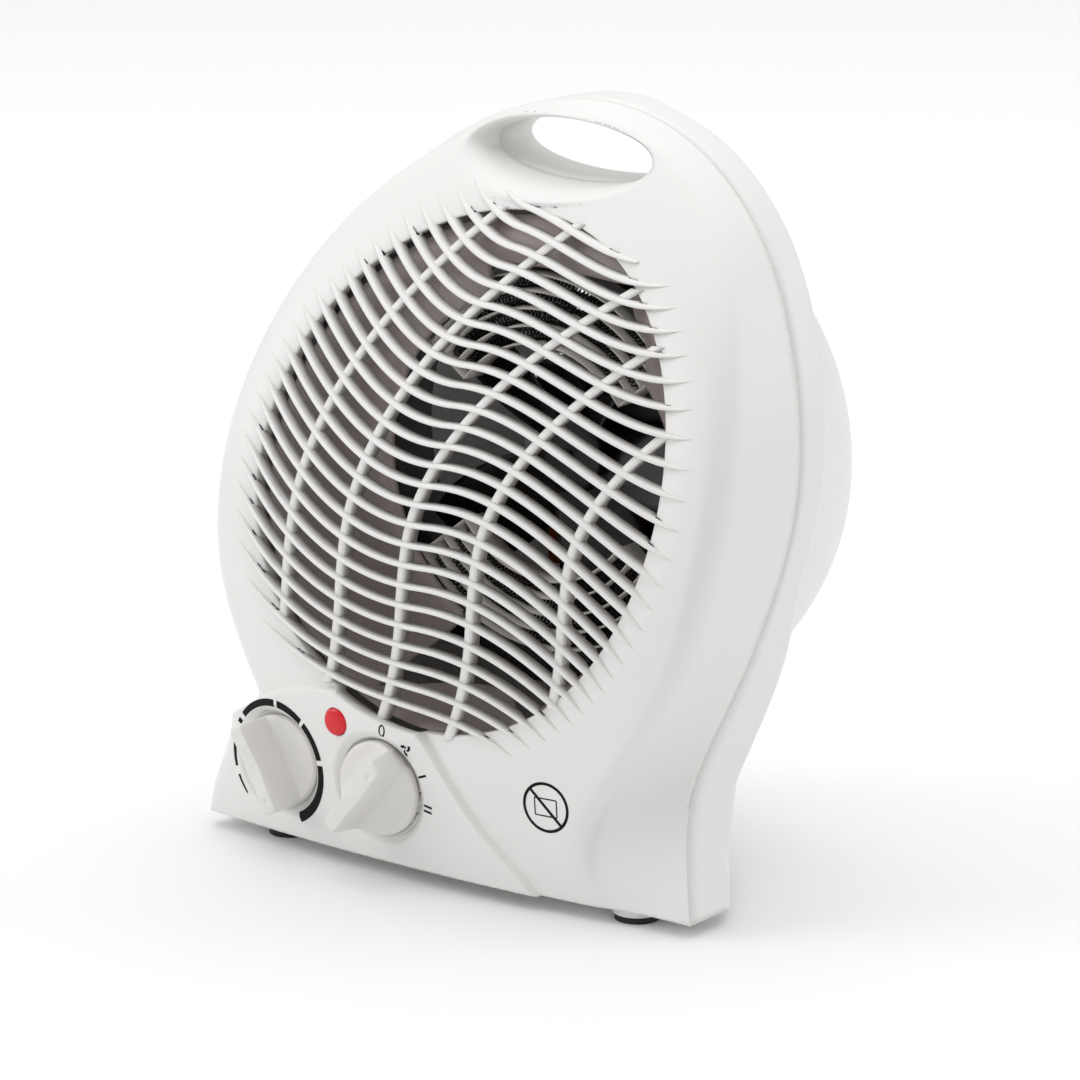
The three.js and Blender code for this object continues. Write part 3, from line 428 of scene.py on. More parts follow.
# %% Front walls: parting face, outlet collar, handle and wells
def front_walls(shape):
    edge = lifted(outline, front_y)
    lip = lifted(outline, lambda x, z: np.maximum(seam_y(z) - 0.15, front_y(x, z)))
    inner = lifted(drawn_in(outline, np.full(len(outline), 1.6)), lambda x, z: seam_y(z) - 0.15)
    shape.rings([edge, lip, inner])
    collar = lambda d: lifted(window_ring, lambda x, z: front_y(x, z) + d)
    inward = lifted(circle(0, WINDOW_Z, WINDOW_R + 2.2, 420), lambda x, z: face_y(x, z) + 6)
    shape.rings([collar(0), collar(1.2), collar(3.4), inward])
    rings = []
    for phi in np.radians([0, 10, 20, 30, 40, 50, 60, 70, 80, 90]):
        plan = handle_point(handle_angles, HANDLE_FLARE * (1 - math.sin(phi)))
        rings.append(lifted(plan, lambda x, z: face_y(x, z) + FLARE_DEEP * (1 - math.cos(phi))))
    rings[0][:, 1] = front_y(rings[0][:, 0], rings[0][:, 2])
    bore = handle_point(handle_angles, 0)
    for share in (0.35, 0.7, 1.0):
        start, stop = rings[9][:, 1], np.maximum(seam_y(bore[:, 1]) - 0.25, rings[9][:, 1] + 0.5)
        rings.append(np.stack([bore[:, 0], start + (stop - start) * share, bore[:, 1]], 1))
    back = handle_point(handle_angles, 0.9)
    rings.append(np.stack([back[:, 0], rings[-1][:, 1] + 0.1, back[:, 1]], 1))
    shape.rings(rings)
    for dial in DIALS.values():
        rim = circle(dial["x"], dial["z"], WELL_R, 120)
        floor = lifted(rim, dial["floor"] - 0.4)
        corner = lifted(circle(dial["x"], dial["z"], WELL_R - 0.4, 120), dial["floor"])
        hub = lifted(circle(dial["x"], dial["z"], 3.5, 120), dial["floor"])
        shape.rings([lifted(rim, front_y), floor, corner, hub])
    hole = circle(PILOT[0], PILOT[1], PILOT_HOLE_R, 48)
    shape.rings([lifted(hole, front_y), lifted(hole, lambda x, z: front_y(x, z) + 2.4)])


front_walls(front)

# %% [markdown]
# ## Louvre
# Twenty-six thin slats and five upright ribs are moulded with the face. Each slat follows the
# curve of the face, bends like a wave across it, and has a nearly flat front with softened corners.
# Its ends run out over the countersink nearly to a point. The topmost slat has tips half as long.

# %% Louvre
SLAT_COUNT, SLAT_TOP, SLAT_PITCH, SLAT_GROWTH = 26, 221.8, 5.72, 0.0267
SLAT_HIGH, SLAT_DEEP, SLAT_TIP, TOP_SLAT_TIP = 1.5, 4.5, 10.5, 5
RIBS = [(-62, 0.0044), (-36, 0.0052), (-8.5, 0.0078), (21, 0.0088), (56, 0.0105)]


def slat_z(n, x):
    mid = SLAT_TOP - SLAT_PITCH * n - SLAT_GROWTH * n * n
    u = (mid - WINDOW_Z) / WINDOW_R
    slope = 0.076 - 0.022 * u - 0.211 * u * u
    left, right = 0.0078 + 0.0062 * u - 0.0024 * u * u, 0.0077 + 0.0015 * u - 0.0036 * u * u
    twist = 0.000026 + 0.000061 * u
    return mid + slope * x + np.where(x < 0, left, -right) * x * x + twist * x**3


def slat(shape, n):
    x = np.arange(-104, 104, 0.25)
    z = slat_z(n, x)
    out = np.hypot(x, z - WINDOW_Z) - WINDOW_R
    reach = TOP_SLAT_TIP if n == 0 else SLAT_TIP
    on = x[(out < reach) & ((panel_depth(x, z) < 0.2) | (out < 0))]
    if len(on) < 60 or out.min() > 6:
        return 0
    xs = np.linspace(on[0], on[-1], 72)
    zs = slat_z(n, xs)
    slope = np.gradient(zs, xs)
    tip = np.clip((np.hypot(xs, zs - WINDOW_Z) - WINDOW_R) / SLAT_TIP, 0, 1)
    end = np.minimum(1, np.minimum(xs - xs[0], xs[-1] - xs) / 3.0)
    high = SLAT_HIGH * np.hypot(1, slope) ** 0.8 * (1 - 0.8 * tip) * (0.25 + 0.75 * end)
    lift = 0.55 - 0.65 * tip**1.5
    deep = np.where(tip > 0, 3.2, SLAT_DEEP)
    middle = zs + SLAT_HIGH / 2
    rings = []
    for i in range(len(xs)):
        h, y = high[i] / 2, face_y(xs[i], middle[i]) - lift[i]
        tilt = np.gradient(face_y(xs[i], np.array([middle[i] - 1, middle[i], middle[i] + 1])))[1]
        prof = [(-h * 0.82, deep[i]), (-h, 1.2), (-h, 0.4), (-h * 0.84, 0.06), (0, -0.04),
                (h * 0.84, 0.06), (h, 0.4), (h, 1.2), (h * 0.82, deep[i])]
        rings.append(np.array([(xs[i], y + dy + tilt * dz, middle[i] + dz) for dz, dy in prof]))
    shape.rings(rings)
    shape.cap(rings[0])
    shape.cap(rings[-1])
    return 1


def rib_x(spec, z):
    low, sweep = spec
    return low + sweep * np.maximum(0, z - 115) ** 2 - 0.006 * np.maximum(0, 95 - z) ** 2


def rib(shape, spec):
    z = np.arange(40, 235, 0.25)
    x = rib_x(spec, z)
    on = z[np.hypot(x, z - WINDOW_Z) < WINDOW_R + 1.5]
    zs = np.linspace(on[0], on[-1], 60)
    xs = rib_x(spec, zs)
    wide = 1.6 * np.hypot(1, np.gradient(xs, zs))
    rings = []
    for x, z, w in zip(xs, zs, wide):
        y = face_y(x, z)
        prof = [(-w * 0.85, 6), (-w, 1.7), (-w * 0.86, 1.18), (0, 1.1),
                (w * 0.86, 1.18), (w, 1.7), (w * 0.85, 6)]
        rings.append(np.array([(x + dx, y + dy, z) for dx, dy in prof]))
    shape.rings(rings)


slats = sum(slat(front, n) for n in range(SLAT_COUNT))
for spec in RIBS:
    rib(front, spec)
front_casing = front.build("front_casing_moulding")
face_outward(front_casing, front_y, -1)
print("slats:", slats, "front casing faces:", len(front_casing.data.polygons))

# %% [markdown]
# ## Rear casing
# The second moulding carries the rim behind the parting line, the skirt down to the base, the
# drum round the fan with its intake slots, four screw wells and the feet under the base.

# %% Rear skin
TAIL, TAIL_LOW, TAIL_HIGH, TAIL_REST = 72, 40, 150, 5
SLOT_ROWS, SLOT_PITCH, SLOT_REACH, SLOT_R = 6, 8.6, 60, 1.7
BAR_INNER, BAR_OUTER = 18, 22
SCREW_WELL_R, CORD_HOLE_R, FOOT_R = 3.5, 7.4, 8.3


def rear_bare(x, z):
    half = np.interp(z, [p[1] for p in OUTLINE], [p[0] for p in OUTLINE])
    share = np.minimum(1, np.abs(x) / np.maximum(20, half))
    tail = TAIL * (1 - smooth(TAIL_LOW, TAIL_HIGH, z)) + TAIL_REST
    return seam_y(z) + rim_depth(z) + tail * (1 - share**1.8)


def drum_y(x, z):
    r = np.hypot(x, z - FAN_Z) / DRUM_R
    c = np.clip(1 - (1 - r) / DRUM_SHOULDER, 0, 1)
    return np.where(r < 1, DRUM_FRONT + (DRUM_BACK - DRUM_FRONT) * np.sqrt(1 - c * c), -50)


def rear_y(x, z):
    x, z = np.asarray(x, float), np.asarray(z, float)
    a = rear_bare(x, z) - round_over(np.maximum(0, inset(x, z)), 2.6)
    b = drum_y(x, z)
    blend = np.maximum(0, 6 - np.abs(a - b)) ** 2 / 24
    blend = blend * (1 - smooth(70, 90, np.maximum(a, b)))
    return np.minimum(np.maximum(a, b) + blend, DRUM_BACK)


def slots():
    """Outlines of the intake slots: thirteen rows, each cut by two upright bars."""
    out = []
    for i in range(-SLOT_ROWS, SLOT_ROWS + 1):
        z = FAN_Z + i * SLOT_PITCH
        reach = math.sqrt(SLOT_REACH**2 - (abs(i) * SLOT_PITCH + SLOT_R) ** 2)
        for x0, x1 in ((-reach, -BAR_OUTER), (-BAR_INNER, BAR_INNER), (BAR_OUTER, reach)):
            if x1 - x0 > 5 and abs(x0) <= reach + 0.1 and abs(x1) <= reach + 0.1:
                a = np.linspace(-math.pi / 2, math.pi / 2, 7)
                right = np.stack([x1 - SLOT_R + SLOT_R * np.cos(a), z + SLOT_R * np.sin(a)], 1)
                top = np.linspace(x1 - 3, x0 + 3, 12)
                left = np.stack([x0 + SLOT_R - SLOT_R * np.cos(a), z - SLOT_R * np.sin(a)], 1)
                ring = [right, np.stack([top, np.full_like(top, z + SLOT_R)], 1), left,
                        np.stack([top[::-1], np.full_like(top, z - SLOT_R)], 1)]
                out.append(np.concatenate(ring))
    return out


def rear_casing_mesh():
    shape = Shape()
    outline = closed_outline(300, 110)
    points = [outline]
    for d in (0.12, 0.35, 0.7, 1.15, 1.7, 2.3, 3.0, 4.5):
        points.append(drawn_in(outline, np.full(len(outline), d)))
    for a in np.radians(np.linspace(2, 88, 30)):
        points.append(circle(0, FAN_Z, DRUM_R * (1 - DRUM_SHOULDER * (1 - math.cos(a))), 300))
    for r in (97.5, 98.6, 100.2):
        points.append(circle(0, FAN_Z, r, 300))
    holes = slots()
    points += holes
    handle = handle_point(handle_angles, REAR_FLARE)
    points += [handle, handle_point(handle_angles, 2.4)]
    for x, z in BOSSES:
        points += [circle(x, z, SCREW_WELL_R + d, 36) for d in (0, 0.5, 1.4)]
    points += [circle(0, CORD_Z, CORD_HOLE_R + d, 48) for d in (0, 0.4, 1.2)]
    fill = grid(3.2, -104, 104, 7, 251)
    fx, fz = fill.T
    fr = np.hypot(fx, fz - FAN_Z)
    clear = (inset(fx, fz) > 5) & ((fr > 102) | (fr < 66))
    clear &= ~inside(handle_point(handle_angles, 4), fx, fz)
    points.append(fill[clear])
    allp = np.concatenate(points)
    allp = allp[inside(drawn_in(outline, np.full(len(outline), -0.02)), allp[:, 0], allp[:, 1])]

    def keep(x, z):
        ok = inside(outline, x, z) & ~inside(handle, x, z)
        for hole in holes:
            near = np.abs(z - hole[:, 1].mean()) < 2
            hit = np.zeros_like(ok)
            hit[near] = inside(hole, x[near], z[near])
            ok &= ~hit
        for bx, bz in BOSSES:
            ok &= np.hypot(x - bx, z - bz) > SCREW_WELL_R
        return ok & (np.hypot(x, z - CORD_Z) > CORD_HOLE_R)

    v, f = sheet_mesh([allp], keep)
    shape.add(lifted(v, rear_y), f)
    lip = lifted(outline, lambda x, z: seam_y(z) + 0.15)
    inner = lifted(drawn_in(outline, np.full(len(outline), 1.6)), lambda x, z: seam_y(z) + 0.15)
    mid = [lip + (lifted(outline, rear_y) - lip) * s for s in (0.33, 0.66)]
    shape.rings([lifted(outline, rear_y), mid[1], mid[0], lip, inner])
    for hole in holes:
        shape.rings([lifted(hole, DRUM_BACK), lifted(hole, DRUM_BACK - 2.6)])
    bore = handle_point(handle_angles, 0)
    rings = []
    for phi in np.radians([0, 30, 60, 90]):
        plan = handle_point(handle_angles, REAR_FLARE * (1 - math.sin(phi)))
        drop = REAR_FLARE * (1 - math.cos(phi))
        rings.append(lifted(plan, lambda x, z: rear_y(x, z) - drop))
    rings[-1][:, [0, 2]] = bore
    front_end = seam_y(bore[:, 1]) + 0.25
    start = rings[-1][:, 1]
    for share in (0.3, 0.6, 0.95):
        rings.append(np.stack([bore[:, 0], start + (front_end - start) * share, bore[:, 1]], 1))
    back = handle_point(handle_angles, 0.8)
    rings.append(np.stack([back[:, 0], front_end, back[:, 1]], 1))
    shape.rings(rings)
    for x, z in BOSSES:
        well = circle(x, z, SCREW_WELL_R, 36)
        floor = seam_y(z) + 6
        shape.rings([lifted(well, rear_y), lifted(well, floor), lifted(circle(x, z, 1.9, 36), floor)])
    seat = float(rear_y(0.0, CORD_Z)) - 1.0
    ring = circle(0, CORD_Z, CORD_HOLE_R, 48)
    shape.rings([lifted(ring, rear_y), lifted(ring, seat), lifted(circle(0, CORD_Z, 4.3, 48), seat)])
    for x, y in FEET:
        profile = [(FOOT_R, BASE_Z + 0.2), (FOOT_R, 2.6), (8.0, 2.3), (0.01, 2.3)]
        a = np.linspace(0, 2 * np.pi, 64, endpoint=False)
        c, s = np.cos(a), np.sin(a)
        shape.rings([np.stack([x + r * c, y + r * s, np.full(64, h)], 1) for r, h in profile])
    return shape.build("rear_casing_moulding")


rear_casing = rear_casing_mesh()
face_outward(rear_casing, rear_y, 1)
print("rear casing faces:", len(rear_casing.data.polygons))

# %% [markdown]
# ## Dials
# Each dial is one ABS moulding: a disc with a grip bar across it that rises from hollowed sides,
# and a small dot at the pointer end. Made as a height over the disc, the bar and its hollows are
# one smooth surface.

# %% Dials
def dial_top(a, b, tall):
    """Height above the disc: a across the bar, b along it towards the pointer."""
    bar = 1 - 0.86 * smooth(2.6, 4.7, np.abs(a)) - 0.14 * smooth(4.2, 11, np.abs(a))
    saddle = 1 - 0.05 * smooth(0, 1, 1 - np.abs(b) / 12)
    height = tall * bar * saddle
    dot = 0.45 * (1 - smooth(0.4, 1.0, np.hypot(a, b - (KNOB_R - 5))))
    return height - dot


def dial(name, spec):
    disc = spec["front"] + KNOB_BAR
    tall = disc - spec["front"]
    shape = Shape()
    rim_rings = [circle(0, 0, KNOB_R - d, 150) for d in (0, 0.1, 0.3, 0.6, 1.0, 1.5)]
    fill = grid(0.5, -16, 16, -16, 16)
    fill = fill[np.hypot(*fill.T) < KNOB_R - 1.8]
    v, f = sheet_mesh(rim_rings + [fill], lambda x, z: np.hypot(x, z) < KNOB_R)
    edge = round_over(KNOB_R - np.hypot(v[:, 0], v[:, 1]), 1.3)
    y = disc - dial_top(v[:, 0], v[:, 1], tall) + edge
    shape.add(np.stack([v[:, 0], y, v[:, 1]], 1), f)
    rim = circle(0, 0, KNOB_R, 150)
    top = disc - dial_top(rim[:, 0], rim[:, 1], tall) + 1.3
    low = np.full(len(rim), spec["floor"] - 0.6)
    rows = [np.stack([rim[:, 0], top + (low - top) * s, rim[:, 1]], 1) for s in (0, 0.3, 0.6, 1)]
    shape.rings(rows + [lifted(circle(0, 0, 3.6, 150), spec["floor"] - 0.6)])
    turn = math.radians(spec["pointer"])
    for block in shape.v:
        a, b = block[:, 0].copy(), block[:, 2].copy()
        block[:, 0] = spec["x"] + a * math.cos(turn) + b * math.sin(turn)
        block[:, 2] = spec["z"] - a * math.sin(turn) + b * math.cos(turn)
    return shape.build(name)


thermostat_dial = dial("thermostat_dial_moulding", DIALS["thermostat"])
selector_dial = dial("selector_dial_moulding", DIALS["selector"])


# %% [markdown]
# ## Printed marks
# Pad-printed ink is about a hundredth of a millimetre thick. It is drawn 0.07 mm proud, which keeps
# it clear of the casing's facets. The marks are the thermostat's growing arc, the selector's 0, fan,
# I and II, and at the right a rectangle in a ring with a bar. They are strips that follow the face.

# %% Printed marks
INK_PROUD, SCALE_R, SYMBOL_R = 0.07, 22.2, 21.6
ARC_DASHES = ((-133, -114), (-106, -80), (-62, -57), (-51, -1.5), (2.5, 36), (40, 77), (82, 154))


def ink_y(x, z):
    return front_y(x, z) - INK_PROUD


def ink(shape, path, width, closed=False):
    """A printed line of a given width along plan points."""
    p = np.asarray(path, float)
    t = np.gradient(p, axis=0) if not closed else np.roll(p, -1, 0) - np.roll(p, 1, 0)
    n = np.stack([-t[:, 1], t[:, 0]], 1) / np.maximum(1e-9, np.hypot(*t.T))[:, None]
    w = np.broadcast_to(width, len(p))[:, None]
    rails = [lifted(p + n * w * k, ink_y) for k in np.linspace(-0.5, 0.5, 6)]
    faces = []
    count = len(p)
    for k in range(len(rails) - 1):
        for i in range(count if closed else count - 1):
            j = (i + 1) % count
            faces.append([k * count + i, k * count + j, (k + 1) * count + j, (k + 1) * count + i])
    shape.add(np.concatenate(rails), faces)


def polar(spec, r, degrees):
    a = np.radians(degrees)
    return np.stack([spec["x"] + r * np.sin(a), spec["z"] + r * np.cos(a)], -1)


marks = Shape()
for start, stop in ARC_DASHES:
    deg = np.linspace(start, stop, max(4, int(stop - start)))
    wide = 0.7 + 2.9 * np.clip((deg + 133) / 190, 0, 1) ** 0.9
    ink(marks, polar(DIALS["thermostat"], SCALE_R - wide / 2, deg), wide)

selector = DIALS["selector"]


def glyph(points, degrees):
    """Strokes drawn about a mark's middle, turned to face outwards from the dial."""
    a = math.radians(degrees)
    middle = polar(selector, SYMBOL_R, degrees)
    p = np.asarray(points, float)
    return middle + np.stack([p[:, 0] * math.cos(a) + p[:, 1] * math.sin(a),
                              -p[:, 0] * math.sin(a) + p[:, 1] * math.cos(a)], 1)


turn = np.linspace(0, 2 * np.pi, 32, endpoint=False)
ink(marks, glyph(np.stack([1.1 * np.cos(turn), 2.0 * np.sin(turn)], 1), 10), 0.6, closed=True)
for blade in range(3):
    a = np.radians(120 * blade) + np.linspace(0, 1.5, 10)
    r = np.linspace(0.35, 2.0, 10)
    ink(marks, glyph(np.stack([r * np.cos(a), r * np.sin(a)], 1), 40), np.linspace(0.5, 1.2, 10))
straight = np.linspace(-1.9, 1.9, 6)
ink(marks, glyph(np.stack([straight * 0, straight], 1), 68), 0.8)
for side in (-0.95, 0.95):
    ink(marks, glyph(np.stack([straight * 0 + side, straight * 0.9], 1), 99), 0.8)

SIGN = (50.5, 37.5, 8.3)
ink(marks, circle(SIGN[0], SIGN[1], SIGN[2], 96), 1.05, closed=True)
ink(marks, np.array(SIGN[:2]) + np.linspace(-1, 1, 20)[:, None] * [5.87, -5.87], 1.05)
frame_path = np.array([(-4.2, -3), (4.2, -3), (4.2, 3), (-4.2, 3)])
for p, q in zip(frame_path, np.roll(frame_path, -1, 0)):
    ink(marks, np.array(SIGN[:2]) + p + np.linspace(0, 1, 8)[:, None] * (q - p), 0.45)
printed = marks.build("printed_marks", weld=0.0001)


# %% [markdown]
# ## Pilot light
# A turned-looking button of red polycarbonate pressed into the panel, with a shallow dome.

# %% Pilot light
def pilot_lens():
    x0, z0, r = PILOT
    y0 = float(face_y(x0, z0)) - PANEL_RAISE
    profile = [(r, y0 + 5.5), (r, y0 - 0.1), (r * 0.985, y0 - 0.35), (r * 0.93, y0 - 0.6),
               (r * 0.8, y0 - 0.85), (r * 0.6, y0 - 1.08), (r * 0.4, y0 - 1.22), (r * 0.2, y0 - 1.29),
               (0.02, y0 - 1.32)]
    shape = Shape()
    shape.rings([lifted(circle(x0, z0, rr, 64), y) for rr, y in profile])
    return shape.build("pilot_light_button")


pilot = pilot_lens()


# %% [markdown]
# ## Baffle, element and fan
# The baffle is a funnel from the outlet to the plate that carries the element. Behind its
# openings two banks of flattened resistance wire coils lie between concentric mica cards.

# %% Baffle
BAFFLE_Z, BAFFLE_R, OPEN_R, OPEN_Z = 136.0, 83.0, 61.0, 131.0
PORTS = [(-18, 48, 170, 203), (-30, 40, 62, 100)]
FUNNEL_R, BAFFLE_STAND, BAFFLE_PLANE, BAFFLE_THICK = 66, 9, -2, 1.6


def baffle_y(x, z):
    k = smooth(FUNNEL_R, BAFFLE_R, np.hypot(x, z - BAFFLE_Z))
    return (face_y(x, z) + BAFFLE_STAND) * k + BAFFLE_PLANE * (1 - k)


def in_port(x, z, port):
    return (x > port[0]) & (x < port[1]) & (z > port[2]) & (z < port[3])


def baffle_mesh():
    shape = Shape()
    ring = circle(0, OPEN_Z, OPEN_R, 400)
    rims = [ring]
    for x0, x1, z0, z1 in PORTS:
        s, t = np.linspace(x0, x1, 70), np.linspace(z0, z1, 40)
        rims += [np.stack([s, np.full(70, z0)], 1), np.stack([s, np.full(70, z1)], 1)]
        rims += [np.stack([np.full(40, x0), t], 1), np.stack([np.full(40, x1), t], 1)]
    points = list(rims)
    for r in np.linspace(64, BAFFLE_R, 16):
        points.append(circle(0, BAFFLE_Z, r, 260))
    fill = grid(3, -64, 64, 70, 200)
    points.append(fill[np.hypot(fill[:, 0], fill[:, 1] - BAFFLE_Z) < 63])

    def keep(x, z):
        ok = (np.hypot(x, z - BAFFLE_Z) < BAFFLE_R) & (np.hypot(x, z - OPEN_Z) > OPEN_R)
        for port in PORTS:
            ok &= ~in_port(x, z, port)
        return ok

    v, f = sheet_mesh(points, keep)
    shape.add(lifted(v, baffle_y), f)
    for rim in rims:
        free = np.ones(len(rim), bool)
        is_ring = rim is ring
        for port in PORTS:
            free &= ~in_port(rim[:, 0], rim[:, 1], port)
        if not is_ring:
            free &= np.hypot(rim[:, 0], rim[:, 1] - OPEN_Z) > OPEN_R
        front_row = lifted(rim, baffle_y)
        back_row = lifted(rim, lambda x, z: baffle_y(x, z) + BAFFLE_THICK)
        faces = []
        n = len(rim)
        for i in range(n if is_ring else n - 1):
            j = (i + 1) % n
            if free[i] and free[j]:
                faces.append([i, j, n + j, n + i])
        shape.add(np.concatenate([front_row, back_row]), faces)
    return shape.build("baffle_moulding")


baffle = baffle_mesh()

# %% Resistance wire
ROWS, SWEEP = (44, 50, 56, 62), math.radians(50)
WIRE_R, TURN_PITCH = 0.27, 1.55
COIL_MIDDLE, COIL_DEEP, COIL_HIGH = 8.0, 3.4, 2.25
CARD_RINGS, CARD_THICK, CARD_FRONT, CARD_BACK = (40.7, 46.7, 52.7, 58.7, 64.7), 0.7, 3.0, 13.0


def tube(shape, path, radius, sides=6):
    path = np.asarray(path, float)
    t = np.gradient(path, axis=0)
    t /= np.linalg.norm(t, axis=1)[:, None]
    u = np.cross(t, [0.31, 0.87, 0.38])
    u /= np.linalg.norm(u, axis=1)[:, None]
    w = np.cross(t, u)
    a = np.linspace(0, 2 * np.pi, sides, endpoint=False)
    across = u[:, None, :] * np.cos(a)[None, :, None] + w[:, None, :] * np.sin(a)[None, :, None]
    ring = path[:, None, :] + radius * across
    shape.rings(list(ring))


def wire_bank(name, side, seed):
    """Rows of flattened coil, with the uneven turns that winding and glowing leave."""
    rng = np.random.default_rng(seed)
    shape = Shape()
    for r in ROWS:
        turns = int(2 * SWEEP * r / TURN_PITCH)
        phase = np.linspace(0, turns, turns * 12 + 1)
        lean = np.interp(phase, np.arange(turns + 1), rng.normal(0, 0.22, turns + 1))
        size = 1 + np.interp(phase, np.arange(turns + 1), rng.normal(0, 0.07, turns + 1))
        along = -SWEEP + 2 * SWEEP * (phase + lean * 0.6) / turns
        a = side * np.pi / 2 + along
        radial = r + COIL_HIGH * size * np.cos(2 * np.pi * phase)
        depth = COIL_MIDDLE + COIL_DEEP * np.sin(2 * np.pi * phase) + 0.25 * lean
        tube(shape, np.stack([radial * np.cos(a), depth, FAN_Z + radial * np.sin(a)], 1), WIRE_R)
    return shape.build(name, weld=0.0001)


wire_upper = wire_bank("upper_resistance_wire", 1, 11)
wire_lower = wire_bank("lower_resistance_wire", -1, 23)


def mica_cards(name, side):
    """Concentric cards between the rows of wire, joined by a card at each end."""
    shape = Shape()
    middle, reach = side * math.pi / 2, SWEEP + math.radians(3)
    a = np.linspace(middle - reach, middle + reach, 80)
    for r in CARD_RINGS:
        outer = r + CARD_THICK
        corners = ((r, CARD_FRONT), (outer, CARD_FRONT), (outer, CARD_BACK), (r, CARD_BACK))
        rows = [np.stack([rr * np.cos(a), np.full(80, y), FAN_Z + rr * np.sin(a)], 1) for rr, y in corners]
        shape.rings([np.stack([row[i] for row in rows]) for i in range(80)])
    for end in (a[0], a[-1]):
        c, s = math.cos(end), math.sin(end)
        half = CARD_THICK / 2
        corners = ((-half, CARD_FRONT), (half, CARD_FRONT), (half, CARD_BACK), (-half, CARD_BACK))
        shape.rings([np.array([(r * c - w * s, y, FAN_Z + r * s + w * c) for w, y in corners])
                     for r in (CARD_RINGS[0], CARD_RINGS[-1] + CARD_THICK)])
    return shape.build(name, weld=0.0001)


mica_upper = mica_cards("upper_mica_cards", 1)
mica_lower = mica_cards("lower_mica_cards", -1)


# %% Fan
def impeller():
    """Five pitched blades on a hub, moulded in one."""
    front_face, back_face, hub, reach, count, pitch = 18.0, 30.0, 14.0, 66.0, 5, 38.0
    middle = (front_face + back_face) / 2
    shape = Shape()
    profile = [(2.2, front_face), (9, front_face), (hub - 2, front_face + 0.2),
               (hub - 0.6, front_face + 0.9), (hub, front_face + 2.4), (hub, back_face), (2.2, back_face)]
    shape.rings([lifted(circle(0, FAN_Z, r, 64), y) for r, y in profile])
    for blade in range(count):
        turn = 2 * math.pi * blade / count
        rings = []
        for i in np.linspace(0, 4, 25):
            r = hub - 2 + (reach - hub + 2) * i / 4
            chord = 12 + 22 * math.sin(math.pi * (i + 1) / 6.2)
            twist = math.radians(pitch - 4.5 * i)
            c, s = chord / 2 * math.cos(twist), min(chord / 2 * math.sin(twist), 6.6)
            q = np.linspace(-1, 1, 11)
            camber = 1.2 * (1 - q * q)
            thin = 0.6 * np.sqrt(np.maximum(0.05, 1 - q**6))
            upper = np.stack([np.full(11, r), middle + q * s + camber - thin, q * c], 1)
            lower = np.stack([np.full(11, r), middle + q * s + camber + thin, q * c], 1)[::-1]
            ring = np.concatenate([upper, lower])
            x, z = ring[:, 0].copy(), ring[:, 2].copy()
            ring[:, 0] = x * math.cos(turn) + z * math.sin(turn)
            ring[:, 2] = FAN_Z - x * math.sin(turn) + z * math.cos(turn)
            rings.append(ring)
        shape.rings(rings)
        shape.cap(rings[-1])
    return shape.build("fan_impeller_moulding")


fan = impeller()

# %% [markdown]
# ## Materials
# Each material is named by what it is made of and how. Patterns are procedural and set from real
# sizes in millimetres. The spark-eroded texture of a mould is really 0.1 to 0.2 mm across, too fine
# to show here, so the moulded plastics and the rubber have it at 0.3 to 0.6 mm. Flow marks are
# centimetres wide.

# %% Material helpers
def linear(hex_colour):
    """sRGB hex to linear rgb."""
    out = []
    for i in (1, 3, 5):
        v = int(hex_colour[i : i + 2], 16) / 255
        out.append(v / 12.92 if v <= 0.04045 else ((v + 0.055) / 1.055) ** 2.4)
    return (*out, 1.0)


def node(tree, kind, links=None, **settings):
    """Adds a node, sets attributes or input defaults, and links its inputs."""
    n = tree.nodes.new(kind)
    for key, value in settings.items():
        if hasattr(n, key):
            setattr(n, key, value)
        else:
            n.inputs[key.replace("_", " ")].default_value = value
    for key, source in (links or {}).items():
        tree.links.new(source, n.inputs[key])
    return n


def per_metre(size_mm):
    return 1000.0 / size_mm


FLOW_MARK, GRAIN_DEPTH = 38, 0.2


def material(name, hex_colour, rough, metal=0.0, grain=(0.5, 0.03), mottle=0.04, rough_vary=0.06,
             edge=0.0, **extra):
    """Principled surface with mottled colour and gloss, and a grain of (size in mm, strength)."""
    m = bpy.data.materials.new(name)
    m.use_nodes = True
    tree = m.node_tree
    shader = tree.nodes["Principled BSDF"]
    where = node(tree, "ShaderNodeTexCoord").outputs["Object"]
    cloud = node(tree, "ShaderNodeTexNoise", {"Vector": where}, Scale=per_metre(FLOW_MARK), Detail=3.0)
    fine = node(tree, "ShaderNodeTexNoise", {"Vector": where}, Scale=per_metre(grain[0]), Detail=2.0)
    base = linear(hex_colour)
    dark = tuple(c * (1 - mottle * 2) for c in base[:3]) + (1.0,)
    colour = node(tree, "ShaderNodeMix", {"Factor": cloud.outputs["Fac"]}, data_type="RGBA")
    for socket, value in (("A", dark), ("B", base)):
        for s in colour.inputs:
            if s.name == socket and s.type == "RGBA":
                s.default_value = value
    out = next(s for s in colour.outputs if s.type == "RGBA")
    tree.links.new(out, shader.inputs["Base Color"])
    gloss = node(tree, "ShaderNodeMapRange", {"Value": cloud.outputs["Fac"]})
    gloss.inputs["To Min"].default_value = rough - rough_vary
    gloss.inputs["To Max"].default_value = rough + rough_vary
    tree.links.new(gloss.outputs["Result"], shader.inputs["Roughness"])
    bump = node(tree, "ShaderNodeBump", {"Height": fine.outputs["Fac"]}, Strength=grain[1],
                Distance=GRAIN_DEPTH * MM)
    if edge:
        soft = node(tree, "ShaderNodeBevel", samples=4, Radius=edge * MM)
        tree.links.new(soft.outputs["Normal"], bump.inputs["Normal"])
    tree.links.new(bump.outputs["Normal"], shader.inputs["Normal"])
    shader.inputs["Metallic"].default_value = metal
    for key, value in extra.items():
        shader.inputs[key.replace("_", " ")].default_value = value
    return m


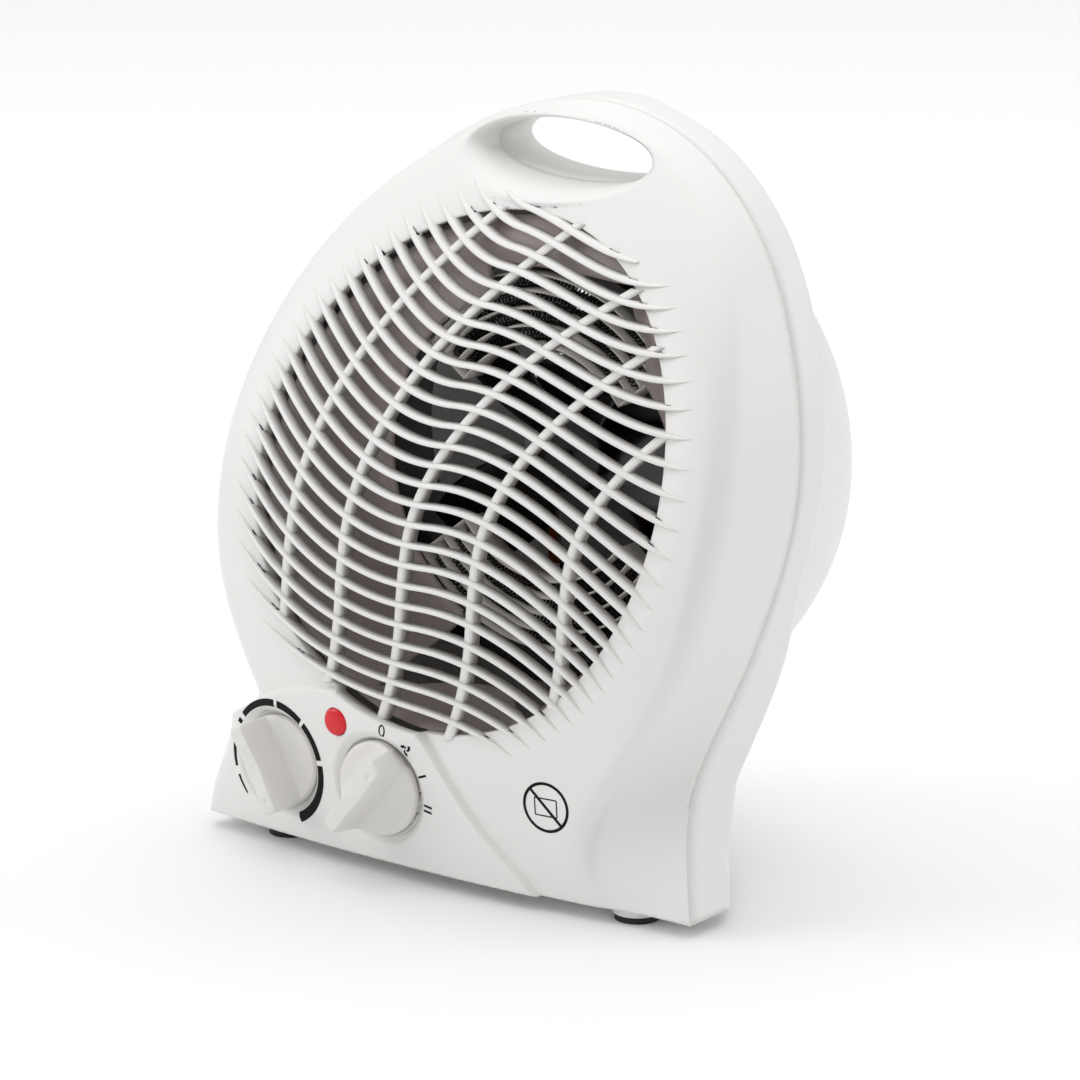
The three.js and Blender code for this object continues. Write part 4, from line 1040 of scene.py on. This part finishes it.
# %% Materials
# Both casing halves: a warm white with a satin shine. Edges softened by 0.35 mm catch a thin light.
polypropylene = material("white polypropylene, injection moulded", "#ecebe9", 0.40, grain=(0.6, 0.05),
                         mottle=0.006, rough_vary=0.03, edge=0.35)
# Dials: a little glossier and greyer than the casing, so they read as pieces of their own.
abs_white = material("white ABS, injection moulded", "#e6e4e1", 0.36, grain=(0.4, 0.04),
                     mottle=0.006, rough_vary=0.03)
# Marks: flat black that stays dark where the casing shines.
ink_black = material("black pad-printing ink", "#080706", 0.62, grain=(0.2, 0.04), mottle=0.02,
                     Specular_IOR_Level=0.2)
# Pilot light: a strong opaque red. A 0.9 mm ripple breaks up the shine under a thin gloss.
red_lens = material("red polycarbonate lens, polished", "#e4001c", 0.32, grain=(0.9, 0.55), mottle=0.12,
                    Coat_Weight=0.15, Coat_Roughness=0.12)
# Baffle: a satin grey-brown, which tells it from the white louvre in front of it.
taupe = material("taupe glass-filled nylon, injection moulded", "#b9ada9", 0.42, grain=(0.5, 0.06),
                 mottle=0.05)
# Duct and fan: near black, the blades smoother so that their edges catch some light.
duct_black = material("black glass-filled nylon, injection moulded", "#17130f", 0.45, grain=(0.5, 0.05))
fan_black = material("smoke-black nylon blades, injection moulded", "#15110f", 0.30, grain=(0.5, 0.04))
# Wire: dark oxide over metal, uneven in tone, with a fine 0.3 mm scale.
nichrome = material("oxidised nichrome wire, drawn", "#2b2826", 0.42, metal=0.75, grain=(0.3, 0.2),
                    mottle=0.2)
# Cards: pale and half matt, with the flakes of the pressed card drawn 2 mm across.
mica_white = material("phlogopite mica card, pressed", "#f6f3ea", 0.5, grain=(2.0, 0.15), mottle=0.07)
# Shafts, brackets and screws: a soft grey metal shine, slightly cloudy as plating is.
zinc = material("zinc-plated steel, pressed", "#b9bcbf", 0.34, metal=1.0, grain=(0.8, 0.08), mottle=0.1)
# Rotor and stator: a dull grey metal, rough at 0.5 mm, the thickness of one sheet.
lamination = material("silicon steel laminations, stacked", "#7d8084", 0.45, metal=0.9,
                      grain=(0.5, 0.3), mottle=0.15)
# Winding: a glossy brown-red. Its 0.35 mm grain is about the thickness of the wire.
copper = material("enamelled copper winding", "#9c4a22", 0.3, metal=0.85, grain=(0.35, 0.5), mottle=0.2)
# Bushes: a dull yellow-brown metal with the fine pores of pressed powder.
bronze = material("oil-filled sintered bronze", "#98794c", 0.5, metal=0.9, grain=(0.15, 0.2), mottle=0.1)
# Thermostat body: a satin brown, cloudy from its filler.
phenolic = material("brown phenolic, compression moulded", "#8d6b45", 0.5, grain=(0.4, 0.1), mottle=0.15)
# Selector switch body and thermal cut-out: plain satin black.
nylon_black = material("black nylon, injection moulded", "#1d1b1a", 0.45, grain=(0.4, 0.06))
# Neon lamp: clear and very smooth, so it shows by its reflections.
glass = material("clear neon lamp glass, drawn", "#f0e8e0", 0.08, grain=(3.0, 0.02), mottle=0.02,
                 Transmission_Weight=0.9, IOR=1.5)
# Thermal fuse: off-white with the wet shine of a glaze.
ceramic = material("glazed ceramic sleeve", "#e0dccf", 0.18, grain=(1.0, 0.06), mottle=0.05)
# Terminal block: a pale warm plastic with a satin surface.
polyamide = material("ivory polyamide, injection moulded", "#d9d4c6", 0.42, grain=(0.4, 0.06))
# Foot pads and cord inlet: dark and matt, with almost no highlight.
rubber = material("black rubber pad, moulded", "#2b2928", 0.8, grain=(0.3, 0.2), mottle=0.08)

# %% [markdown]
# ## Assembly
# Every surface rides on the CAD body it belongs to, and stands for the CAD nodes it refines.

# %% Assembly
def place(obj, mat, body, slot, *nodes):
    obj.data.materials.clear()
    obj.data.materials.append(mat)
    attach(obj, body)
    if nodes:
        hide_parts(*nodes)


place(front_casing, polypropylene, "casing", "casing_white", "front_casing")
place(rear_casing, polypropylene, "casing", "casing_white", "rear_casing")
place(thermostat_dial, abs_white, "thermostat_dial", "knob_white", "thermostat_knob")
place(selector_dial, abs_white, "selector_dial", "knob_white", "selector_knob")
place(printed, ink_black, "casing", "switch_black")
place(pilot, red_lens, "casing", "pilot_red", "pilot_lens")
place(baffle, taupe, "casing", "baffle_taupe", "inner_baffle")
place(wire_upper, nichrome, "casing", "heating_wire", "heating_wire_upper")
place(wire_lower, nichrome, "casing", "heating_wire", "heating_wire_lower")
place(mica_upper, mica_white, "casing", "mica", "mica_cards_upper")
place(mica_lower, mica_white, "casing", "mica", "mica_cards_lower")
place(fan, fan_black, "fan_rotor", "fan_black", "fan_impeller")

BY_SLOT = {
    "steel": zinc, "thermostat_frame": phenolic, "switch_black": nylon_black, "lamp_glass": glass,
    "duct_black": duct_black, "rotor_steel": lamination, "lamination_steel": lamination,
    "copper_winding": copper, "zinc_plate": zinc, "sintered_bronze": bronze, "cutout_black": nylon_black,
    "ceramic_white": ceramic, "terminal_ivory": polyamide, "gland_black": rubber, "foot_rubber": rubber,
}
kept = 0
for part in frame["record"]["subparts"]:
    cad = frame["nodes"][part["node"]]
    if part["material_slot"] in BY_SLOT and not cad.hide_render:
        cad.data.materials.clear()
        cad.data.materials.append(BY_SLOT[part["material_slot"]])
        kept += 1
print("CAD pieces kept with a finish:", kept)


# %% [markdown]
# ## Studio
# A wide white floor under a large overhead panel, a soft box at the left front, a weaker one behind
# at the right, and an even white surround. The camera stands 1.8 m away, to the right and a little
# above, with a long lens.

# %% Studio
def studio():
    mesh = bpy.data.meshes.new("studio_floor")
    mesh.from_pydata([(-9, -9, 0), (9, -9, 0), (9, 9, 0), (-9, 9, 0)], [], [(0, 1, 2, 3)])
    floor = bpy.data.objects.new("studio_floor", mesh)
    bpy.context.scene.collection.objects.link(floor)
    sweep = material("white seamless paper", "#f4f4f4", 0.9, grain=(0.5, 0.02), mottle=0.0,
                     rough_vary=0.0)
    mesh.materials.append(sweep)
    world = bpy.data.worlds.new("studio surround")
    world.use_nodes = True
    back = world.node_tree.nodes["Background"]
    back.inputs["Color"].default_value = (1, 1, 1, 1)
    back.inputs["Strength"].default_value = 0.5
    bpy.context.scene.world = world


def soft_box(name, at, aim, size, watts):
    light = bpy.data.lights.new(name, "AREA")
    light.shape, light.size, light.energy = "SQUARE", size, watts
    obj = bpy.data.objects.new(name, light)
    bpy.context.scene.collection.objects.link(obj)
    obj.location = at
    obj.rotation_euler = (Vector(aim) - Vector(at)).to_track_quat("-Z", "Y").to_euler()


def camera():
    az, el, distance = math.radians(38), math.radians(14.75), 1.8
    right = Vector((math.cos(az), math.sin(az), 0))
    up = Vector((-math.sin(az) * math.sin(el), math.cos(az) * math.sin(el), math.cos(el)))
    out = right.cross(up)
    aim = Vector((0, -0.0045, 0.130)) + right * 0.0045 - up * 0.0205
    data = bpy.data.cameras.new("camera")
    data.lens, data.sensor_width = 178.1, 36.0
    data.clip_start, data.clip_end = 0.1, 40.0
    cam = bpy.data.objects.new("camera", data)
    bpy.context.scene.collection.objects.link(cam)
    axes = Matrix((right, up, out)).transposed().to_4x4()
    cam.matrix_world = Matrix.Translation(aim + out * distance) @ axes
    bpy.context.scene.camera = cam


studio()
bpy.context.scene.view_settings.view_transform = "Standard"
soft_box("key soft box", (-1.7, -1.4, 1.2), (0, 0, 0.12), 1.3, 15)
soft_box("right soft box", (1.5, 1.5, 1.0), (0, 0, 0.12), 1.2, 7)
soft_box("overhead soft box", (-0.4, 0.7, 2.6), (-0.4, 0.7, 0), 4.0, 64)
camera()
